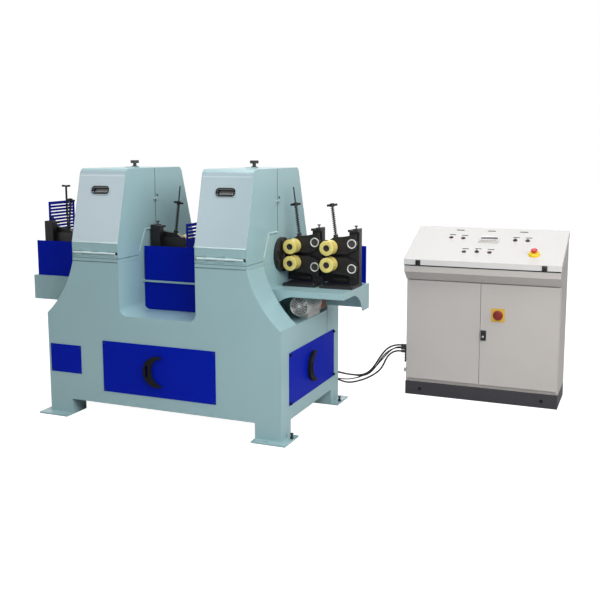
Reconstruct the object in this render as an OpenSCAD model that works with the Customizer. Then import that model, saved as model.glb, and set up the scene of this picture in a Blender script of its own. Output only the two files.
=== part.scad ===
// Round bar sanding machine with two planetary belt heads, three feed stations,
// and a control console joined to it by four cables.
// Frame: X runs along the bar, Y runs away from the operator, Z is up.
// The origin is the middle of the base's four anchor holes, on the floor.

/* [Base frame] */
// Length of the base along the bar
base_len = 1920; // [1860:10:2020]
// Depth of the base from front to back
base_dep = 1130; // [1080:10:1240]
// Thickness of the base and head sheet
sheet_t = 6; // [4:1:8]
// Height of the skirt's lower edge over the floor
skirt_z = 120; // [100:5:140]
// Height of the base at its two ends
end_z = 772; // [740:4:800]
// Height of the saddle between the two heads
saddle_z = 790; // [770:5:820]
// Width of a leg along the bar
leg_w = 197; // [160:1:220]
// Width of a leg across the bar
leg_d = 168; // [140:1:190]
// Thickness of a foot plate
foot_t = 12; // [8:1:16]
// How far a foot plate stands out past the end of the base
foot_out = 59; // [50:1:80]
// How far a foot plate stands out past the front or back of the base
foot_front = 70; // [55:1:90]
// Diameter of an anchor hole
anchor_d = 18; // [12:1:22]
// Diameter of a levelling bolt
jack_d = 16; // [12:1:20]

/* [Heads] */
// Clear distance between the two heads
head_gap = 628; // [600:4:660]
// Width of one head along the bar
head_w = 398; // [380:2:420]
// Height of the front plate's top edge
plate_top_z = 1172; // [1150:2:1180]
// Height of the cover's lower side edge
cover_low_z = 1205; // [1195:1:1215]
// Height of the cover's hinge
hinge_z = 1243; // [1236:1:1250]
// Height where the cover's front starts to lean back
fold_z = 1318; // [1300:2:1340]
// Height of the hood's roof
hood_top_z = 1850; // [1820:5:1900]
// How far the cover's front leans back to the roof
front_set = 136; // [110:2:160]
// How far the hood's back leans in to the roof
back_set = 220; // [180:5:250]
// Thickness of the cover sheet
cover_t = 5; // [3:1:6]
// Height of the bar's centre line over the floor
bar_z = 1225; // [1215:1:1235]
// Diameter of the way through for the bar
bar_bore_d = 100; // [80:2:110]
// Diameter of a belt pulley in the head
belt_pulley_d = 70; // [60:2:80]
// Width of an abrasive belt
belt_w = 60; // [40:5:70]

/* [Feed shelves] */
// Height of the shelf and of the deck between the heads
shelf_z = 1000; // [980:5:1010]
// Length of a feed shelf past its head
shelf_len = 583; // [575:1:640]
// Length of the left feed shelf past its head
left_shelf_len = 598; // [590:1:660]
// Depth of a feed shelf
shelf_dep = 560; // [540:5:580]
// Height of the shallow apron
apron_h = 44; // [36:1:52]
// Height of the deep apron
apron_deep = 188; // [170:2:200]
// Height of the blue guards on the shelves
guard_h = 275; // [230:1:290]
// Height of the blue guard on the deck between the heads
mid_guard_h = 258; // [230:1:280]

/* [Feed units] */
// Diameter of a feed roller
roller_d = 108; // [96:2:112]
// Length of a feed roller
roller_len = 95; // [80:1:110]
// Gap between the closed rollers at their ends
roller_gap = 14; // [12:1:18]
// Distance from roller to arm pivot along the bar
pivot_dx = 160; // [150:2:170]
// Height of the upper pivot over the bar's centre
pivot_dz = 90; // [84:1:98]
// Diameter of an arm pivot pin
pivot_d = 50; // [40:1:54]
// Thickness of a swing arm
arm_t = 36; // [28:1:44]
// Distance between the two units of the right station
unit_pitch = 284; // [276:2:300]
// Diameter of a tension screw
screw_d = 10; // [8:1:12]
// Diameter of the spring wire
wire_d = 4.4; // [3:0.2:5]
// Mean diameter of the spring
spring_d = 23; // [20:1:26]

/* [Drives] */
// Diameter of the feed motor's fan cover
motor_d = 138; // [120:2:150]
// Length of the feed motor without its gearbox
motor_len = 270; // [240:5:300]
// Diameter of a head motor
head_motor_d = 220; // [180:5:240]
// Length of a head motor
head_motor_len = 250; // [200:5:280]

/* [Console] */
// Width of the console cabinet
console_w = 1200; // [1000:10:1300]
// Depth of the console cabinet
console_dep = 443; // [400:5:500]
// Height of the console's plinth
plinth_h = 107; // [90:1:120]
// Height of the cabinet's doorway top over the floor
cabinet_z = 952; // [900:4:980]
// Height of the lid's front edge over the floor
lid_front_z = 1123; // [1100:1:1140]
// Height of the lid's back edge over the floor
lid_back_z = 1342; // [1320:2:1360]
// Thickness of the console's sheet
case_t = 3; // [2:1:4]
// Thickness of a console door
door_t = 18; // [14:1:24]

/* [Cables] */
// Diameter of a power cable
cable_d = 14; // [12:1:15]
// Diameter of a signal cable
thin_cable_d = 10; // [8:1:12]
// Diameter of a cable gland
gland_d = 23; // [20:1:24]

/* [Hidden] */
$fn = 48;

// Colours of the finishes
paint_teal = [0.55, 0.68, 0.70];
paint_blue = [0.03, 0.08, 0.55];
steel_dark = [0.12, 0.11, 0.13];
steel_bright = [0.72, 0.72, 0.70];
tyre_yellow = [0.90, 0.82, 0.40];
case_grey = [0.74, 0.73, 0.71];
plinth_grey = [0.27, 0.27, 0.30];
signal_red = [0.78, 0.10, 0.05];
belt_brown = [0.45, 0.27, 0.16];

// Fits and gaps shared by all pieces
cut_over = 1;
slide_fit = 0.05;
seat_gap = 0.3;
screw_gap = 1;

half_len = base_len / 2;
half_dep = base_dep / 2;
head_in = head_gap / 2;
head_out = head_in + head_w;
head_cx = head_in + head_w / 2;

// Foot plates and what holds them
anchor_x = half_len - leg_w / 2;
anchor_y = half_dep + foot_front / 2;
jack_in = 15.5;
jack_x = half_len + foot_out - jack_in;
jack_y = half_dep - leg_d / 2;
jack_h = 52;
jack_nut_r = 13;
jack_nut_h = 12;

// Flare of the front and rear plates beside each head
flare_sag = 36;
flare_steps = 8;
flare_wall = 8;
saddle_r = 60;

// Middle body between the heads, with its deck
mid_y = 244;
deck_t = 12;
deck_out = 18;
deck_z = shelf_z + deck_t;

// Feed bays under the shelves, between a front column and a rear post
column_y = -292;
post_y = 325;
recess_h = 172;
recess_deep = 5;

// Shelf for the head motors, inside the base
motor_shelf_z = 330;
motor_shelf_t = 10;
motor_shelf_y = [40, 320];

// Feed shelves
right_shelf_y = -250;
left_shelf_y = -280;
arch_r = 200;
arch_x = 218;
end_arch_r = 245;
end_arch_y = 194;

// Windows in the base, each low corner and high corner, and the panels over them
front_win = [[-440, 245], [434, 565]];
end_win = [[-395, 252], [427, 565]];
small_win_in = 50;
small_win_w = 213;
small_win_z = [354, 507];
small_win = [[small_win_in - half_len, small_win_z[0]], [small_win_in + small_win_w - half_len, small_win_z[1]]];
panel_lap = 30;
panel_t = 4;
pull_r = 112;
pull_cut_r = 104;
pull_cut_at = 52;
pull_rise = 24;
pull_slot = [22, 90];
thumb_r = 9;
thumb_h = 14;

// Hoods and covers
seam_y = -50;
seam_gap = 3;
step_y = [-294, -193];
step_z = 181;
corner_r = 50;
fascia_h = 60;
trim_w = 12;
trim_t = 3;
catch_drop = 250;
catch_z = hood_top_z - catch_drop;
catch_size = [30, 22, 8];
hinge_out = 8;
hinge_r = 8;
hinge_pin_r = 3;
hinge_parts = 5;
hinge_leaf_t = 4;
hinge_leaf_h = 26;
hinge_end = 20;
knuckle_gap = 1;
strap_w = 46;
strap_t = 6;
strap_front = 60;
strap_back = 62;
knob_y = -14;
knob_r = 32;
knob_h = 22;
knob_neck_r = 13;
knob_neck_h = 26;
knob_lobes = 7;
knob_stud_r = 5;
cup_w = 150;
cup_h = 60;
cup_drop = 157;
cup_z = hood_top_z - cup_drop;
cup_deep = 24;
cup_rim = 8;
cup_wall = 3;
cup_corner = 18;

// Head flanges, each as plate radius, plate thickness and neck length inside
outer_flange = [125, 28, 22];
inner_flange = [104, 12, 30];
flange_neck_r = 90;
flange_lip = 12;
flange_bolts = 8;
flange_bolt_r = 7;
flange_bolt_h = 7;

// Planetary rotor in a head, places along the bar from the head's inner side
journal_r = bar_bore_d / 2 + 20;
pulley_at = [36, 86];
rotor_pulley_r = 170;
disc_at = [[104, 120], [206, 218]];
disc_r = 240;
disc_holes = 8;
disc_hole_r = 26;
disc_hole_at = 205;
disc_hole_turn = 22.5;
groove_deep = 7;
groove_count = 3;
belt_y = 120;
belt_t = 3;
bar_max_r = 40;
axle_r = 12;

// Drive of a head: motor, pulley and belt
drive_y = 180;
drive_z = 480;
drive_pulley_r = 70;
drive_belt_t = 8;
drive_belt_in = 6;
belt_nip = 0.2;
drive_gap = 10;
drive_shaft_r = 19;
drive_fin = 8;
drive_foot_w = 180;

// Feed unit, in its own frame on the bar's centre line under the upper roller
roller_z = (roller_gap + roller_d) / 2;
arm_y = 52;
arm_gap = 4;
shaft_r = 15;
hub_r = 23;
hub_in = 5;
waist = 5;
waist_steps = 8;
ring_r = 36;
ring_in_r = 25;
ring_t = 9;
pin_in = 3;
arm_shares = [
    [-0.20, 0.14], [0.72, 0.14], [1.18, 0.50], [1.18, 1.80], [0.94, 1.66], [0.56, 1.52], [0.12, 1.47],
    [-0.21, 1.10]];
lug_share = [0.19, 1.50];
lug_r = 17;
lug_h = 16;
screw_lean = 7.4;
screw_deep = 36;
tee_at = 216;
tee_hub_r = 15;
tee_hub_h = 26;
tee_bar_r = 6;
tee_bar_len = 78;
screw_proud = 112;
post_shares = [0.78, 1.26];
post_t = 58;
post_top = 172;
cap_front = 60;
cap_h = 16;
step_h = 8;
base_shares = [-0.30, 1.26];
base_y = [-62, 160];
unit_base_t = 20;
knob_stem_r = 5;
knob_stem_h = 16;
knob_top_r = 12;
knob_top_h = 8;
lift_rod_share = 0.863;
lift_rod_y = -56.5;
lift_rod_r = 5;
lift_rod_top = 475;

// Places of the units: along the bar, turn about the upright, floor height, and screw end over the tee
unit_in = 92;
unit_x = head_out + unit_in;
mid_unit_x = 95;
left_unit_in = 220;
left_unit_x = head_out + left_shelf_len - left_unit_in;
right_1 = [unit_x, 0, shelf_z, screw_proud];
right_2 = [unit_x + unit_pitch, 0, shelf_z, 0];
middle = [-mid_unit_x, 180, deck_z, screw_proud];
left = [-left_unit_x, 180, shelf_z, 0];

// Spring on a tension screw
spring_curls = 14;
spring_rings = 8;
spring_sides = 6;

// Blue guards
guard_t = 4;
guard_in = 8;
guard_end = 20;
guard_back = 10;
guard_lip = 18;
left_guard_y = -250;
mid_guard_x = 300;
mid_guard_gap = 1;
mid_guard_y = -240;
mid_low_z = 792;
dust_x = 10;
dust_y = 150;
dust_h = 423;
dust_hole_r = 60;
end_dust_y = [-80, 250];
end_dust_h = 569;
end_dust_gap = 7;
louvre_h = 8;
louvre_pitch = 26;
louvre_side = 24;

// Feed motor under the right shelf
motor_in = 18;
motor_x = half_len - motor_in;
motor_y = -200;
motor_z = 883;
fan_cover_len = 62;
fan_wall = 3;
fan_shaft_r = 9;
fan_shaft_in = 30;
fan_hub_r = 18;
fan_blades = 7;
fan_r = 57;
fan_w = 22;
fan_in = 14;
blade_t = 3;
fin_count = 24;
fin_t = 3;
fin_deep = 7;
grille_rings = 4;
grille_bars = 12;
grille_t = 3;
grille_in = 1;
grille_w = 2.4;
grille_hub_r = 12;
gearbox = [120, 104, 126];
box_size = [64, 84, 36];
motor_foot = [74, 130, 44];

// Console
console_gap = 454;
console_back_from = 362;
console_x = half_len + console_gap;
console_y = half_dep + console_back_from;
desk_out = 82;
desk_low_z = 1022;
lid_rim = 44;
lid_over = 5;
lid_gap = 1;
door_split = 597;
door_side = 6;
door_low = 30;
door_high = 7;
door_gap = 3;
door_back = 2;
door_wall = 2;
door_pin_r = 2;
door_pin_len = 12;
door_pin_in = 5;
door_block = 14;
door_stop = 12;
lid_hinge_r = 6;
lid_hinge_out = 7;
lid_pin_r = 3;
lid_leaf = [4, 22];
lid_hinge_w = 30;
lid_hinge_at = 200;
latch_at = [93, 1061];
latch_size = [38, 5, 38];
switch_at = [733, 703];
switch_plate = 104;
switch_plate_t = 3;
switch_r = 38;
switch_h = 30;
switch_grip = [16, 66, 12];
switch_shaft_r = 7;
handle_at = [624, 534];
handle_plate = [42, 80];
handle_plate_t = 4;
handle_lever = [20, 62, 16];
plug_r = 12;

// Controls on the console's lid, places as shares of its width and slope
lamp_shares = [[0.246, 0.671], [0.329, 0.661], [0.370, 0.269], [0.536, 0.277]];
start_share = [0.673, 0.650];
stop_share = [0.754, 0.649];
selector_share = [0.453, 0.284];
stop_head_share = [0.819, 0.269];
display_share = [0.504, 0.643];
display_size = [150, 100, 6];
button_r = 11;
button_h = 8;
button_ring_r = 15;
button_ring_h = 5;
button_stem_r = 6;
button_stem_len = 16;
push_gap = 5;
estop_base_r = 44;
estop_base_h = 22;
estop_head_r = 25;
estop_head_h = 22;
estop_neck_r = 12;
estop_neck_h = 16;

// Cable glands on the back of the base and on the console's left side
gland_len = 44;
gland_nut_r = 12.4;
gland_nut_len = 14;
gland_plate_t = 4;
gland_plate_rim = 12;
machine_gland_in = 55;
machine_gland_z = 200;
machine_gland = [half_len - machine_gland_in, machine_gland_z];
machine_gland_step = [35, 50];
console_gland_in = 28;
console_gland_z = 395;
console_gland = [console_y + console_gland_in, console_gland_z];
console_gland_step = [35, 25];
side_knob_z = 194;
side_knob_r = 16;
side_knob_h = 18;

// Where the base ends on the machine that the routes of the cables were read from
cable_home = [960, 565, 0];

// Routes of the cables between their glands
cable_sides = 8;
cable_routes = [
    [[905, 609, 200], [905, 624, 200], [907, 648, 198], [916, 672, 192], [936, 692, 185], [966, 704, 178],
     [1005, 719, 171], [1050, 741, 165], [1092, 764, 165], [1124, 785, 175], [1152, 805, 196],
     [1177, 823, 228], [1199, 841, 266], [1220, 858, 304], [1243, 876, 340], [1270, 896, 370],
     [1302, 920, 388], [1332, 944, 394], [1356, 955, 395], [1370, 955, 395]],
    [[870, 609, 200], [870, 624, 200], [872, 652, 199], [882, 682, 195], [904, 706, 188], [938, 722, 178],
     [982, 740, 167], [1030, 762, 156], [1076, 784, 150], [1114, 804, 155], [1146, 823, 174],
     [1174, 842, 205], [1198, 860, 243], [1220, 876, 282], [1244, 892, 316], [1272, 910, 343],
     [1304, 932, 362], [1332, 948, 369], [1356, 955, 370], [1370, 955, 370]],
    [[905, 609, 150], [905, 624, 150], [907, 648, 145], [916, 672, 134], [936, 692, 120], [966, 708, 108],
     [1000, 726, 102], [1036, 750, 104], [1072, 776, 112], [1110, 798, 124], [1148, 818, 143],
     [1186, 840, 167], [1218, 858, 197], [1241, 872, 235], [1257, 886, 275], [1276, 905, 310],
     [1303, 926, 334], [1332, 944, 344], [1356, 955, 345], [1370, 955, 345]],
    [[870, 609, 150], [870, 624, 150], [872, 652, 147], [882, 682, 139], [904, 708, 130], [938, 728, 124],
     [982, 746, 122], [1030, 772, 128], [1074, 800, 140], [1112, 824, 158], [1146, 846, 184],
     [1176, 868, 214], [1202, 890, 246], [1226, 910, 278], [1250, 932, 310], [1276, 954, 338],
     [1304, 974, 358], [1332, 988, 368], [1356, 990, 370], [1370, 990, 370]]];
cable_sizes = [cable_d, thin_cable_d, cable_d, thin_cable_d];

// Basic shapes

// A block between two corners
module block(lo, hi) {
    translate(lo) cube(hi - lo);
}

// A flat outline in the YZ plane, carried along X from x0 to x1
module along_x(x0, x1) {
    translate([x0, 0, 0]) rotate([90, 0, 90]) linear_extrude(x1 - x0) children();
}

// A flat outline in the XZ plane, carried along Y from y0 to y1
module along_y(y0, y1) {
    translate([0, y1, 0]) rotate([90, 0, 0]) linear_extrude(y1 - y0) children();
}

// Round bars along X and along Y
module bar_x(x0, x1, r) {
    translate([x0, 0, 0]) rotate([0, 90, 0]) cylinder(r = r, h = x1 - x0);
}

module bar_y(y0, y1, r) {
    translate([0, y1, 0]) rotate([90, 0, 0]) cylinder(r = r, h = y1 - y0);
}

// A flat rectangle between two corners
module pane(lo, hi) {
    translate(lo) square(hi - lo);
}

// The same piece at both ends of the machine
module both_ends() {
    children();
    mirror([1, 0, 0]) children();
}

// The same piece at the front and the back
module both_sides() {
    children();
    mirror([0, 1, 0]) children();
}

// A piece as modelled on the right, or its mirror image on the left
module on_side(side) {
    if (side < 0) mirror([1, 0, 0]) children();
    else children();
}

function unit(v) = v / norm(v);

// Points of a shallow bow from a to b that sags by s to its left
function bow(a, b, s, n) = [
    for (i = [0:n])
        let (t = i / n, d = b - a, side = [-d.y, d.x] / norm(d))
        a + d * t + side * (4 * s * t * (1 - t))];

// Points of a round corner of radius r at c, between the sides towards a and b
function fillet(a, c, b, r, n = 6) =
    let (u = unit(a - c), v = unit(b - c), half = acos(u * v) / 2,
        o = c + unit(u + v) * r / sin(half),
        p = c + u * r / tan(half), q = c + v * r / tan(half),
        a0 = atan2(p.y - o.y, p.x - o.x), a1 = atan2(q.y - o.y, q.x - o.x),
        turn = (a1 - a0 + 540) % 360 - 180)
    [for (i = [0:n]) o + r * [cos(a0 + turn * i / n), sin(a0 + turn * i / n)]];

// An outline with each corner rounded by its own radius
function rounded(p, radii) =
    let (n = len(p))
    [for (i = [0:n - 1]) each radii[i] > 0 ? fillet(p[(i + n - 1) % n], p[i], p[(i + 1) % n], radii[i]) : [p[i]]];

// An outline with each edge moved in by its own wall, the edge after corner i by walls[i]
function moved_in(p, walls) =
    let (n = len(p))
    [for (i = [0:n - 1])
        let (b = p[i], u = unit(b - p[(i + n - 1) % n]), v = unit(p[(i + 1) % n] - b),
            nu = [-u.y, u.x], nv = [-v.y, v.x], tu = walls[(i + n - 1) % n], tv = walls[i],
            det = nu.x * nv.y - nu.y * nv.x)
        b + [tu * nv.y - tv * nu.y, tv * nu.x - tu * nv.x] / det];

// A sheet box along X: an outline with its own walls and two side sheets
module sheet_box(x0, x1, outline, radii, walls, side) {
    difference() {
        along_x(x0, x1) polygon(rounded(outline, radii));
        along_x(x0 + side, x1 - side)
            polygon(rounded(moved_in(outline, walls), [for (i = [0:len(radii) - 1]) radii[i] > 0 ? radii[i] - side : 0]));
    }
}

// A tube swept along a path, with flat ends
function tangent(p, i) = unit(p[min(i + 1, len(p) - 1)] - p[max(i - 1, 0)]);

function tube_sides(p, side, i = 0) =
    i == len(p) ? [] :
    let (t = tangent(p, i), s = unit(side - t * (side * t)))
    concat([s], tube_sides(p, s, i + 1));

module tube(path, r, sides) {
    n = len(path);
    side = tube_sides(path, cross(tangent(path, 0), [0.3, 0.5, 0.8]));
    points = [
        for (i = [0:n - 1])
            let (u = side[i], v = cross(tangent(path, i), u))
            for (k = [0:sides - 1]) path[i] + r * (cos(360 * k / sides) * u + sin(360 * k / sides) * v)];
    walls = [
        for (i = [0:n - 2])
            for (k = [0:sides - 1])
                let (a = i * sides + k, b = i * sides + (k + 1) % sides)
                each [[a, b + sides, b], [a, a + sides, b + sides]]];
    ends = [
        for (k = [1:sides - 2])
            let (last = (n - 1) * sides)
            each [[0, k, k + 1], [last, last + k + 1, last + k]]];
    polyhedron(points, concat(walls, ends));
}

// Base frame

function flare() = bow([half_len, end_z], [head_out, plate_top_z], flare_sag, flare_steps);

// The U between the heads; a sheet around it grows outwards
function saddle(grow) =
    let (w = head_in + grow, low = saddle_z - grow, top = plate_top_z + cut_over)
    rounded([[-w, low], [w, low], [w, top], [-w, top]], [saddle_r + grow, saddle_r + grow, 0, 0]);

module plate_outline() {
    right_edge = flare();
    left_edge = [for (i = [flare_steps:-1:0]) [-right_edge[i].x, right_edge[i].y]];
    difference() {
        polygon(concat([[half_len, 0]], right_edge, left_edge, [[-half_len, 0]]));
        polygon(saddle(0));
        pane([leg_w - half_len, -cut_over], [half_len - leg_w, skirt_z]);
    }
}

module end_outline() {
    difference() {
        pane([-half_dep, 0], [half_dep, end_z]);
        pane([leg_d - half_dep, -cut_over], [half_dep - leg_d, skirt_z]);
    }
}

// Column under the flare at the front of a feed bay
module front_column() {
    edge = flare();
    inner = concat([[head_out, end_z]], edge);
    along_y(column_y - sheet_t, column_y) polygon(inner);
    along_y(-half_dep, column_y)
        polygon(concat(edge, [for (i = [flare_steps:-1:0]) edge[i] - [flare_wall, 0]]));
}

// Post that closes the rear of a feed bay
module rear_post() {
    difference() {
        block([head_out - sheet_t, post_y, end_z - sheet_t], [half_len, half_dep, shelf_z]);
        block([head_out, post_y + sheet_t, end_z - sheet_t - cut_over],
            [half_len - sheet_t, half_dep - sheet_t, shelf_z - sheet_t]);
    }
}

// Leg box with its foot plate
module leg() {
    difference() {
        block([half_len - leg_w, -half_dep, 0], [half_len, leg_d - half_dep, skirt_z + sheet_t]);
        block([half_len - leg_w + sheet_t, sheet_t - half_dep, -cut_over],
            [half_len - sheet_t, leg_d - half_dep - sheet_t, skirt_z]);
    }
    difference() {
        block([half_len - leg_w, -half_dep - foot_front, 0], [half_len + foot_out, leg_d - half_dep, foot_t]);
        translate([anchor_x, -anchor_y, -cut_over]) cylinder(d = anchor_d, h = foot_t + 2 * cut_over);
        translate([jack_x, -jack_y, -cut_over])
            cylinder(r = jack_d / 2 + seat_gap, h = foot_t + 2 * cut_over);
    }
}

module base_frame() {
    color(paint_teal)
    difference() {
        union() {
            both_sides() along_y(-half_dep, sheet_t - half_dep) plate_outline();
            both_ends() along_x(half_len - sheet_t, half_len) end_outline();
            both_ends() both_sides() leg();
            along_y(-half_dep, half_dep) difference() {
                polygon(saddle(sheet_t));
                polygon(saddle(0));
                pane([-base_len, plate_top_z], [base_len, plate_top_z + 2 * cut_over]);
            }
            both_ends() {
                front_column();
                rear_post();
                block([head_out - sheet_t, -half_dep, end_z - sheet_t], [head_out, half_dep, plate_top_z]);
                block([head_out - sheet_t, column_y - sheet_t, end_z - sheet_t],
                    [half_len, post_y + sheet_t, end_z]);
                block([half_len - sheet_t - recess_deep, column_y - sheet_t, end_z - recess_h - sheet_t],
                    [half_len - recess_deep, post_y + sheet_t, end_z]);
            }
            along_y(-mid_y, mid_y) intersection() {
                polygon(saddle(sheet_t / 2));
                difference() {
                    pane([-head_in - sheet_t, saddle_z - sheet_t], [head_in + sheet_t, shelf_z]);
                    pane([sheet_t - head_in, saddle_z], [head_in - sheet_t, shelf_z + cut_over]);
                }
            }
            both_sides() along_y(-mid_y, sheet_t - mid_y) intersection() {
                polygon(saddle(sheet_t / 2));
                pane([-head_in - sheet_t, saddle_z - sheet_t], [head_in + sheet_t, shelf_z]);
            }
            block([-head_in, -mid_y - deck_out, shelf_z], [head_in, mid_y + deck_out, deck_z]);
            block([sheet_t - half_len, motor_shelf_y[0], motor_shelf_z],
                [half_len - sheet_t, motor_shelf_y[1], motor_shelf_z + motor_shelf_t]);
        }
        along_y(-half_dep - cut_over, sheet_t - half_dep + cut_over) {
            pane(front_win[0], front_win[1]);
            pane(small_win[0], small_win[1]);
        }
        along_x(half_len - sheet_t - cut_over, half_len + cut_over) pane(end_win[0], end_win[1]);
        both_ends() {
            block([half_len - recess_deep, column_y, end_z - recess_h], [half_len + cut_over, post_y, end_z - sheet_t]);
            translate([0, 0, bar_z]) bar_x(head_in - cut_over, head_out + cut_over, flange_neck_r + seat_gap);
        }
    }
}

module levelling_bolts() {
    color(steel_dark)
    both_ends() both_sides() translate([jack_x, -jack_y, 0]) {
        cylinder(d = jack_d, h = jack_h);
        translate([0, 0, foot_t]) cylinder(r = jack_nut_r, h = jack_nut_h, $fn = 6);
        translate([0, 0, jack_h - jack_nut_h / 2]) cylinder(r = jack_nut_r, h = jack_nut_h / 2, $fn = 6);
    }
}

// A sheet panel over a window, with its crescent pull; flat in its own plane
module panel_face(win) {
    pane(win[0] - [panel_lap, panel_lap], win[1] + [panel_lap, panel_lap]);
}

module pull_outline() {
    difference() {
        circle(r = pull_r);
        translate([pull_cut_at, 0]) circle(r = pull_cut_r);
        translate([-(pull_r + pull_cut_r - pull_cut_at) / 2, 0]) square(pull_slot, center = true);
    }
}

function win_mid(win) = (win[0] + win[1]) / 2;

module front_panel() {
    y = -half_dep;
    mid = win_mid(front_win);
    color(paint_blue) along_y(y - panel_t, y) panel_face(front_win);
    color(steel_dark) along_y(y - panel_t - pull_rise, y - panel_t) translate(mid) pull_outline();
}

module end_panel() {
    x = half_len;
    mid = win_mid(end_win);
    reach = (end_win[1] - end_win[0]) / 2;
    color(paint_blue) along_x(x, x + panel_t) panel_face(end_win);
    color(steel_dark) along_x(x + panel_t, x + panel_t + pull_rise) translate(mid) pull_outline();
    color(steel_dark)
    for (side = [-1, 1])
        for (up = [-1, 1])
            translate([0, mid.x + side * (reach.x + panel_lap / 2), mid.y + up * (reach.y + panel_lap / 2)])
                bar_x(x + panel_t, x + panel_t + thumb_h, thumb_r);
}

module small_panel() {
    color(paint_blue) along_y(-half_dep - panel_t, -half_dep) panel_face(small_win);
}

// Hoods over the heads

back_top_y = half_dep - back_set;
front_top_y = front_set - half_dep;

body_outline = [
    [-half_dep, plate_top_z], [half_dep, plate_top_z], [back_top_y, hood_top_z],
    [seam_y + seam_gap, hood_top_z], [seam_y + seam_gap, cover_low_z + step_z - seam_gap],
    [step_y[1], cover_low_z + step_z - seam_gap], [step_y[0], cover_low_z - seam_gap],
    [-half_dep, cover_low_z - seam_gap]];

module hood_body(side) {
    n = hinge_parts;
    color(paint_teal) on_side(side) difference() {
        union() {
            sheet_box(head_in, head_out, body_outline, [0, 0, corner_r, 0, 0, 0, 0, 0],
                [-cut_over, sheet_t, sheet_t, -cut_over, -cut_over, -cut_over, -cut_over, sheet_t], sheet_t);
            block([head_in + cover_t + seam_gap, -half_dep, plate_top_z],
                [head_out - cover_t - seam_gap, sheet_t - half_dep, plate_top_z + fascia_h]);
            hinge_knuckles([for (i = [0:2:n - 1]) i], -1);
            translate([0, hinge_y, hinge_z]) bar_x(hinge_x0, hinge_x1, hinge_pin_r);
            both_catch(seam_y + seam_gap, 1);
        }
        translate([0, 0, bar_z]) bar_x(head_in - cut_over, head_out + cut_over, flange_neck_r + seat_gap);
    }
}

// Hinge along the foot of the cover: knuckles in turn on the hood and on the cover
hinge_y = -half_dep - hinge_out;
hinge_x0 = head_in + hinge_end;
hinge_x1 = head_out - hinge_end;
hinge_step = (hinge_x1 - hinge_x0) / hinge_parts;

module hinge_knuckles(which, up) {
    for (i = which) {
        x0 = hinge_x0 + i * hinge_step + knuckle_gap / 2;
        x1 = x0 + hinge_step - knuckle_gap;
        translate([0, hinge_y, hinge_z]) bar_x(x0, x1, hinge_r);
        block([x0, -half_dep - hinge_leaf_t, min(hinge_z, hinge_z + up * hinge_leaf_h)],
            [x1, -half_dep, max(hinge_z, hinge_z + up * hinge_leaf_h)]);
    }
}

// Half of the catch on each outer side, next to the seam
module both_catch(y, way) {
    y1 = y + way * catch_size[0];
    block([head_out, min(y, y1), catch_z], [head_out + catch_size[2], max(y, y1), catch_z + catch_size[1]]);
    block([head_in - catch_size[2], min(y, y1), catch_z], [head_in, max(y, y1), catch_z + catch_size[1]]);
}

cover_outline = [
    [-half_dep, cover_low_z], [step_y[0], cover_low_z], [step_y[1], cover_low_z + step_z],
    [seam_y, cover_low_z + step_z], [seam_y, hood_top_z], [front_top_y, hood_top_z], [-half_dep, fold_z]];
front_lean = atan2(front_set, hood_top_z - fold_z);
front_face_low = hinge_z + hinge_r + knuckle_gap;

// Places on the cover's leaning front, at height z
module on_front(x, z) {
    t = (z - fold_z) / (hood_top_z - fold_z);
    translate([x, -half_dep + t * front_set, z]) rotate([-front_lean, 0, 0]) children();
}

module cup_outline(grow) {
    w = cup_w / 2 + grow;
    h = cup_h / 2 + grow;
    polygon(rounded([[-w, -h], [w, -h], [w, h], [-w, h]], [for (i = [0:3]) cup_corner + grow]));
}

// Recessed pull in the cover's front
module cup() {
    difference() {
        union() {
            along_y(-cup_wall, 0) cup_outline(cup_rim);
            along_y(-cup_wall, cup_deep) cup_outline(0);
        }
        along_y(-cup_wall - cut_over, cup_deep - cup_wall) intersection() {
            cup_outline(-cup_wall);
            pane([-cup_w, -cup_h], [cup_w, cup_h / 4]);
        }
        along_y(cup_rim, cup_deep - cup_wall) cup_outline(-cup_wall);
    }
}

// Bent edge of the cover, beside the step down to the flange
module cover_trim() {
    a = cover_outline[1];
    b = cover_outline[2];
    c = cover_outline[3];
    d = unit(b - a);
    side = [-d.y, d.x] * trim_w;
    start = a + d * 2 * trim_w;
    polygon([start, b, c, c + [0, trim_w], b + [side.x, trim_w], start + side]);
}

module cover(side) {
    n = hinge_parts;
    color(paint_teal) on_side(side) difference() {
        union() {
            difference() {
                sheet_box(head_in, head_out, cover_outline, [0, 0, 0, 0, 0, corner_r, 0],
                    [-cut_over, -cut_over, -cut_over, -cut_over, cover_t, cover_t, cover_t], cover_t);
                block([head_in + cover_t, -half_dep - cut_over, cover_low_z - cut_over],
                    [head_out - cover_t, cover_t - half_dep + cut_over, front_face_low]);
                on_front(head_cx, cup_z) along_y(-cut_over, 2 * cover_t) cup_outline(0);
            }
            hinge_knuckles([for (i = [1:2:n - 1]) i], 1);
            along_x(head_out, head_out + trim_t) cover_trim();
            along_x(head_in - trim_t, head_in) cover_trim();
            both_catch(seam_y, -1);
            block([head_cx - strap_w / 2, seam_y - strap_front, hood_top_z],
                [head_cx + strap_w / 2, seam_y, hood_top_z + seat_gap + strap_t]);
            block([head_cx - strap_w / 2, seam_y, hood_top_z + seat_gap],
                [head_cx + strap_w / 2, seam_y + strap_back, hood_top_z + seat_gap + strap_t]);
        }
        translate([0, hinge_y, hinge_z]) bar_x(hinge_x0, hinge_x1, hinge_pin_r + slide_fit);
        translate([head_cx, knob_y, hood_top_z]) cylinder(r = knob_stud_r + slide_fit, h = strap_t + 2 * cut_over);
    }
    color(steel_dark) on_side(side) on_front(head_cx, cup_z) cup();
}

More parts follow.
